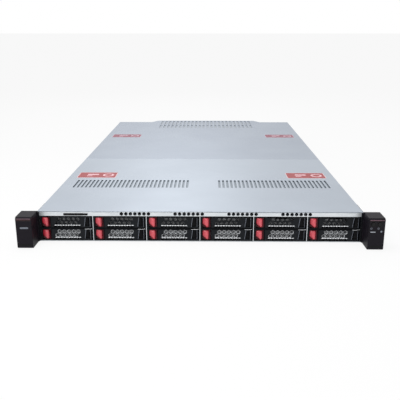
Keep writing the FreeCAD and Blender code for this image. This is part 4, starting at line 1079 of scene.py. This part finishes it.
rearEnd = 410.475
ports = {
    "middle": 5.55, "pitch": 22.0, "count": 6, "width": 13.0, "low": 6.6, "high": 17.1, "deep": 19.0,
    "back": 2.5,                       # thickness of the insert's back wall
    "tongue": (4.5, 13.0, 3.4, 1.6),   # half width, reach, low and high side under the port's top
    "contacts": (8, 1.02, 0.25, 12.4, 3.7, 3.35),   # count, pitch, half width, reach, low and high side
}


def portMeshes():
    inserts, contacts = [], []
    back, low, high = rearEnd - ports["deep"], ports["low"], ports["high"]
    root = back + ports["back"] - 0.1
    for number in range(ports["count"]):
        x = ports["middle"] + (number - (ports["count"] - 1) / 2) * ports["pitch"]
        half = ports["width"] / 2
        inserts.append(((x - half, back, low), (x + half, back + ports["back"], high)))
        half, out, down, up = ports["tongue"]
        inserts.append(((x - half, root, high - down), (x + half, back + out, high - up)))
        count, pitch, half, out, down, up = ports["contacts"]
        for pin in range(count):
            place = x + (pin - (count - 1) / 2) * pitch
            contacts.append(((place - half, root, high - down), (place + half, back + out, high - up)))
    return blocks("portInserts", inserts, 0.12), blocks("portContacts", contacts)


insertShape, contactShape = portMeshes()
meshPiece("portInserts", insertShape, "connector", "chassis")
meshPiece("portContacts", contactShape, "contact", "chassis")

cardVents = {"pitch": 36.0, "width": 28.0, "low": 25.7, "high": 38.7, "depth": 789.0, "sheet": 0.5,
             "hole": 3.0, "step": 3.7, "first": (2.9, 3.3), "rows": (7, 6, 7)}


def cardVentOutlines():
    outlines = []
    low, step = cardVents["low"], cardVents["step"]
    across, up = cardVents["first"]
    for number in range(6):
        left = ports["middle"] + (number - 2.5) * cardVents["pitch"] - cardVents["width"] / 2
        outlines.append(rectangle(left, left + cardVents["width"], low, cardVents["high"]))
        outlines += [regular(left + across + step * (column + 0.5 * (row % 2)), low + up + step * 0.87 * row,
                             cardVents["hole"] / 2 / cos(radians(30)), 6, first=30)
                     for row, count in enumerate(cardVents["rows"]) for column in range(count)]
    return outlines


frontSheet("cardVentMesh", cardVentOutlines(), cardVents["sheet"], 0.0, "cage", "chassis",
           driveFace / mm + cardVents["depth"])

screwPlaces = {
    "rear": [(-112, 36), (-112, 12), (123, 36), (123, 12), (5.6, 32), (-75, 12), (86, 12)],   # across, up
    "side": [(60, 36), (200, 36), (300, 36), (360, 36), (520, 36), (680, 36),                 # depth, up
             (95, 7), (250, 7), (430, 7), (610, 7)],
    "radius": 2.6, "sideWall": 219.3,
}
rearScrews = screwMesh("rearScrews", [(x, rearEnd - 0.6, z) for x, z in screwPlaces["rear"]],
                       screwPlaces["radius"], 0.58, turn=Matrix.Rotation(radians(-90), 4, "X"))
meshPiece("rearScrews", rearScrews, "screw", "chassis")
for name, side in (("sideScrewsLeft", -1), ("sideScrewsRight", 1)):
    places = [(side * screwPlaces["sideWall"], driveFace / mm + depth, z) for depth, z in screwPlaces["side"]]
    outwards = Matrix.Rotation(radians(side * 90), 4, "Y")
    meshPiece(name, screwMesh(name, places, screwPlaces["radius"], 0.55, turn=outwards), "screw", "chassis")
print("rear and sides built")

# grey sheet under the rear vents, its tone painting the shade seen through them
ventScreen = {"left": -112.5, "right": 123.5, "front": 676.0, "rear": 785.5, "drop": 0.28, "sheet": 0.25}


def ventScreenMesh():
    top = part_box("rear_cover")[1].z / mm - lidSheet - ventScreen["drop"]
    front, rear = driveFace / mm + ventScreen["front"], driveFace / mm + ventScreen["rear"]
    return blocks("ventScreen", [((ventScreen["left"], front, top - ventScreen["sheet"]),
                                  (ventScreen["right"], rear, top))], 0.05)


meshPiece("ventScreen", ventScreenMesh(), "screenPaintedShade", "rear_lid")
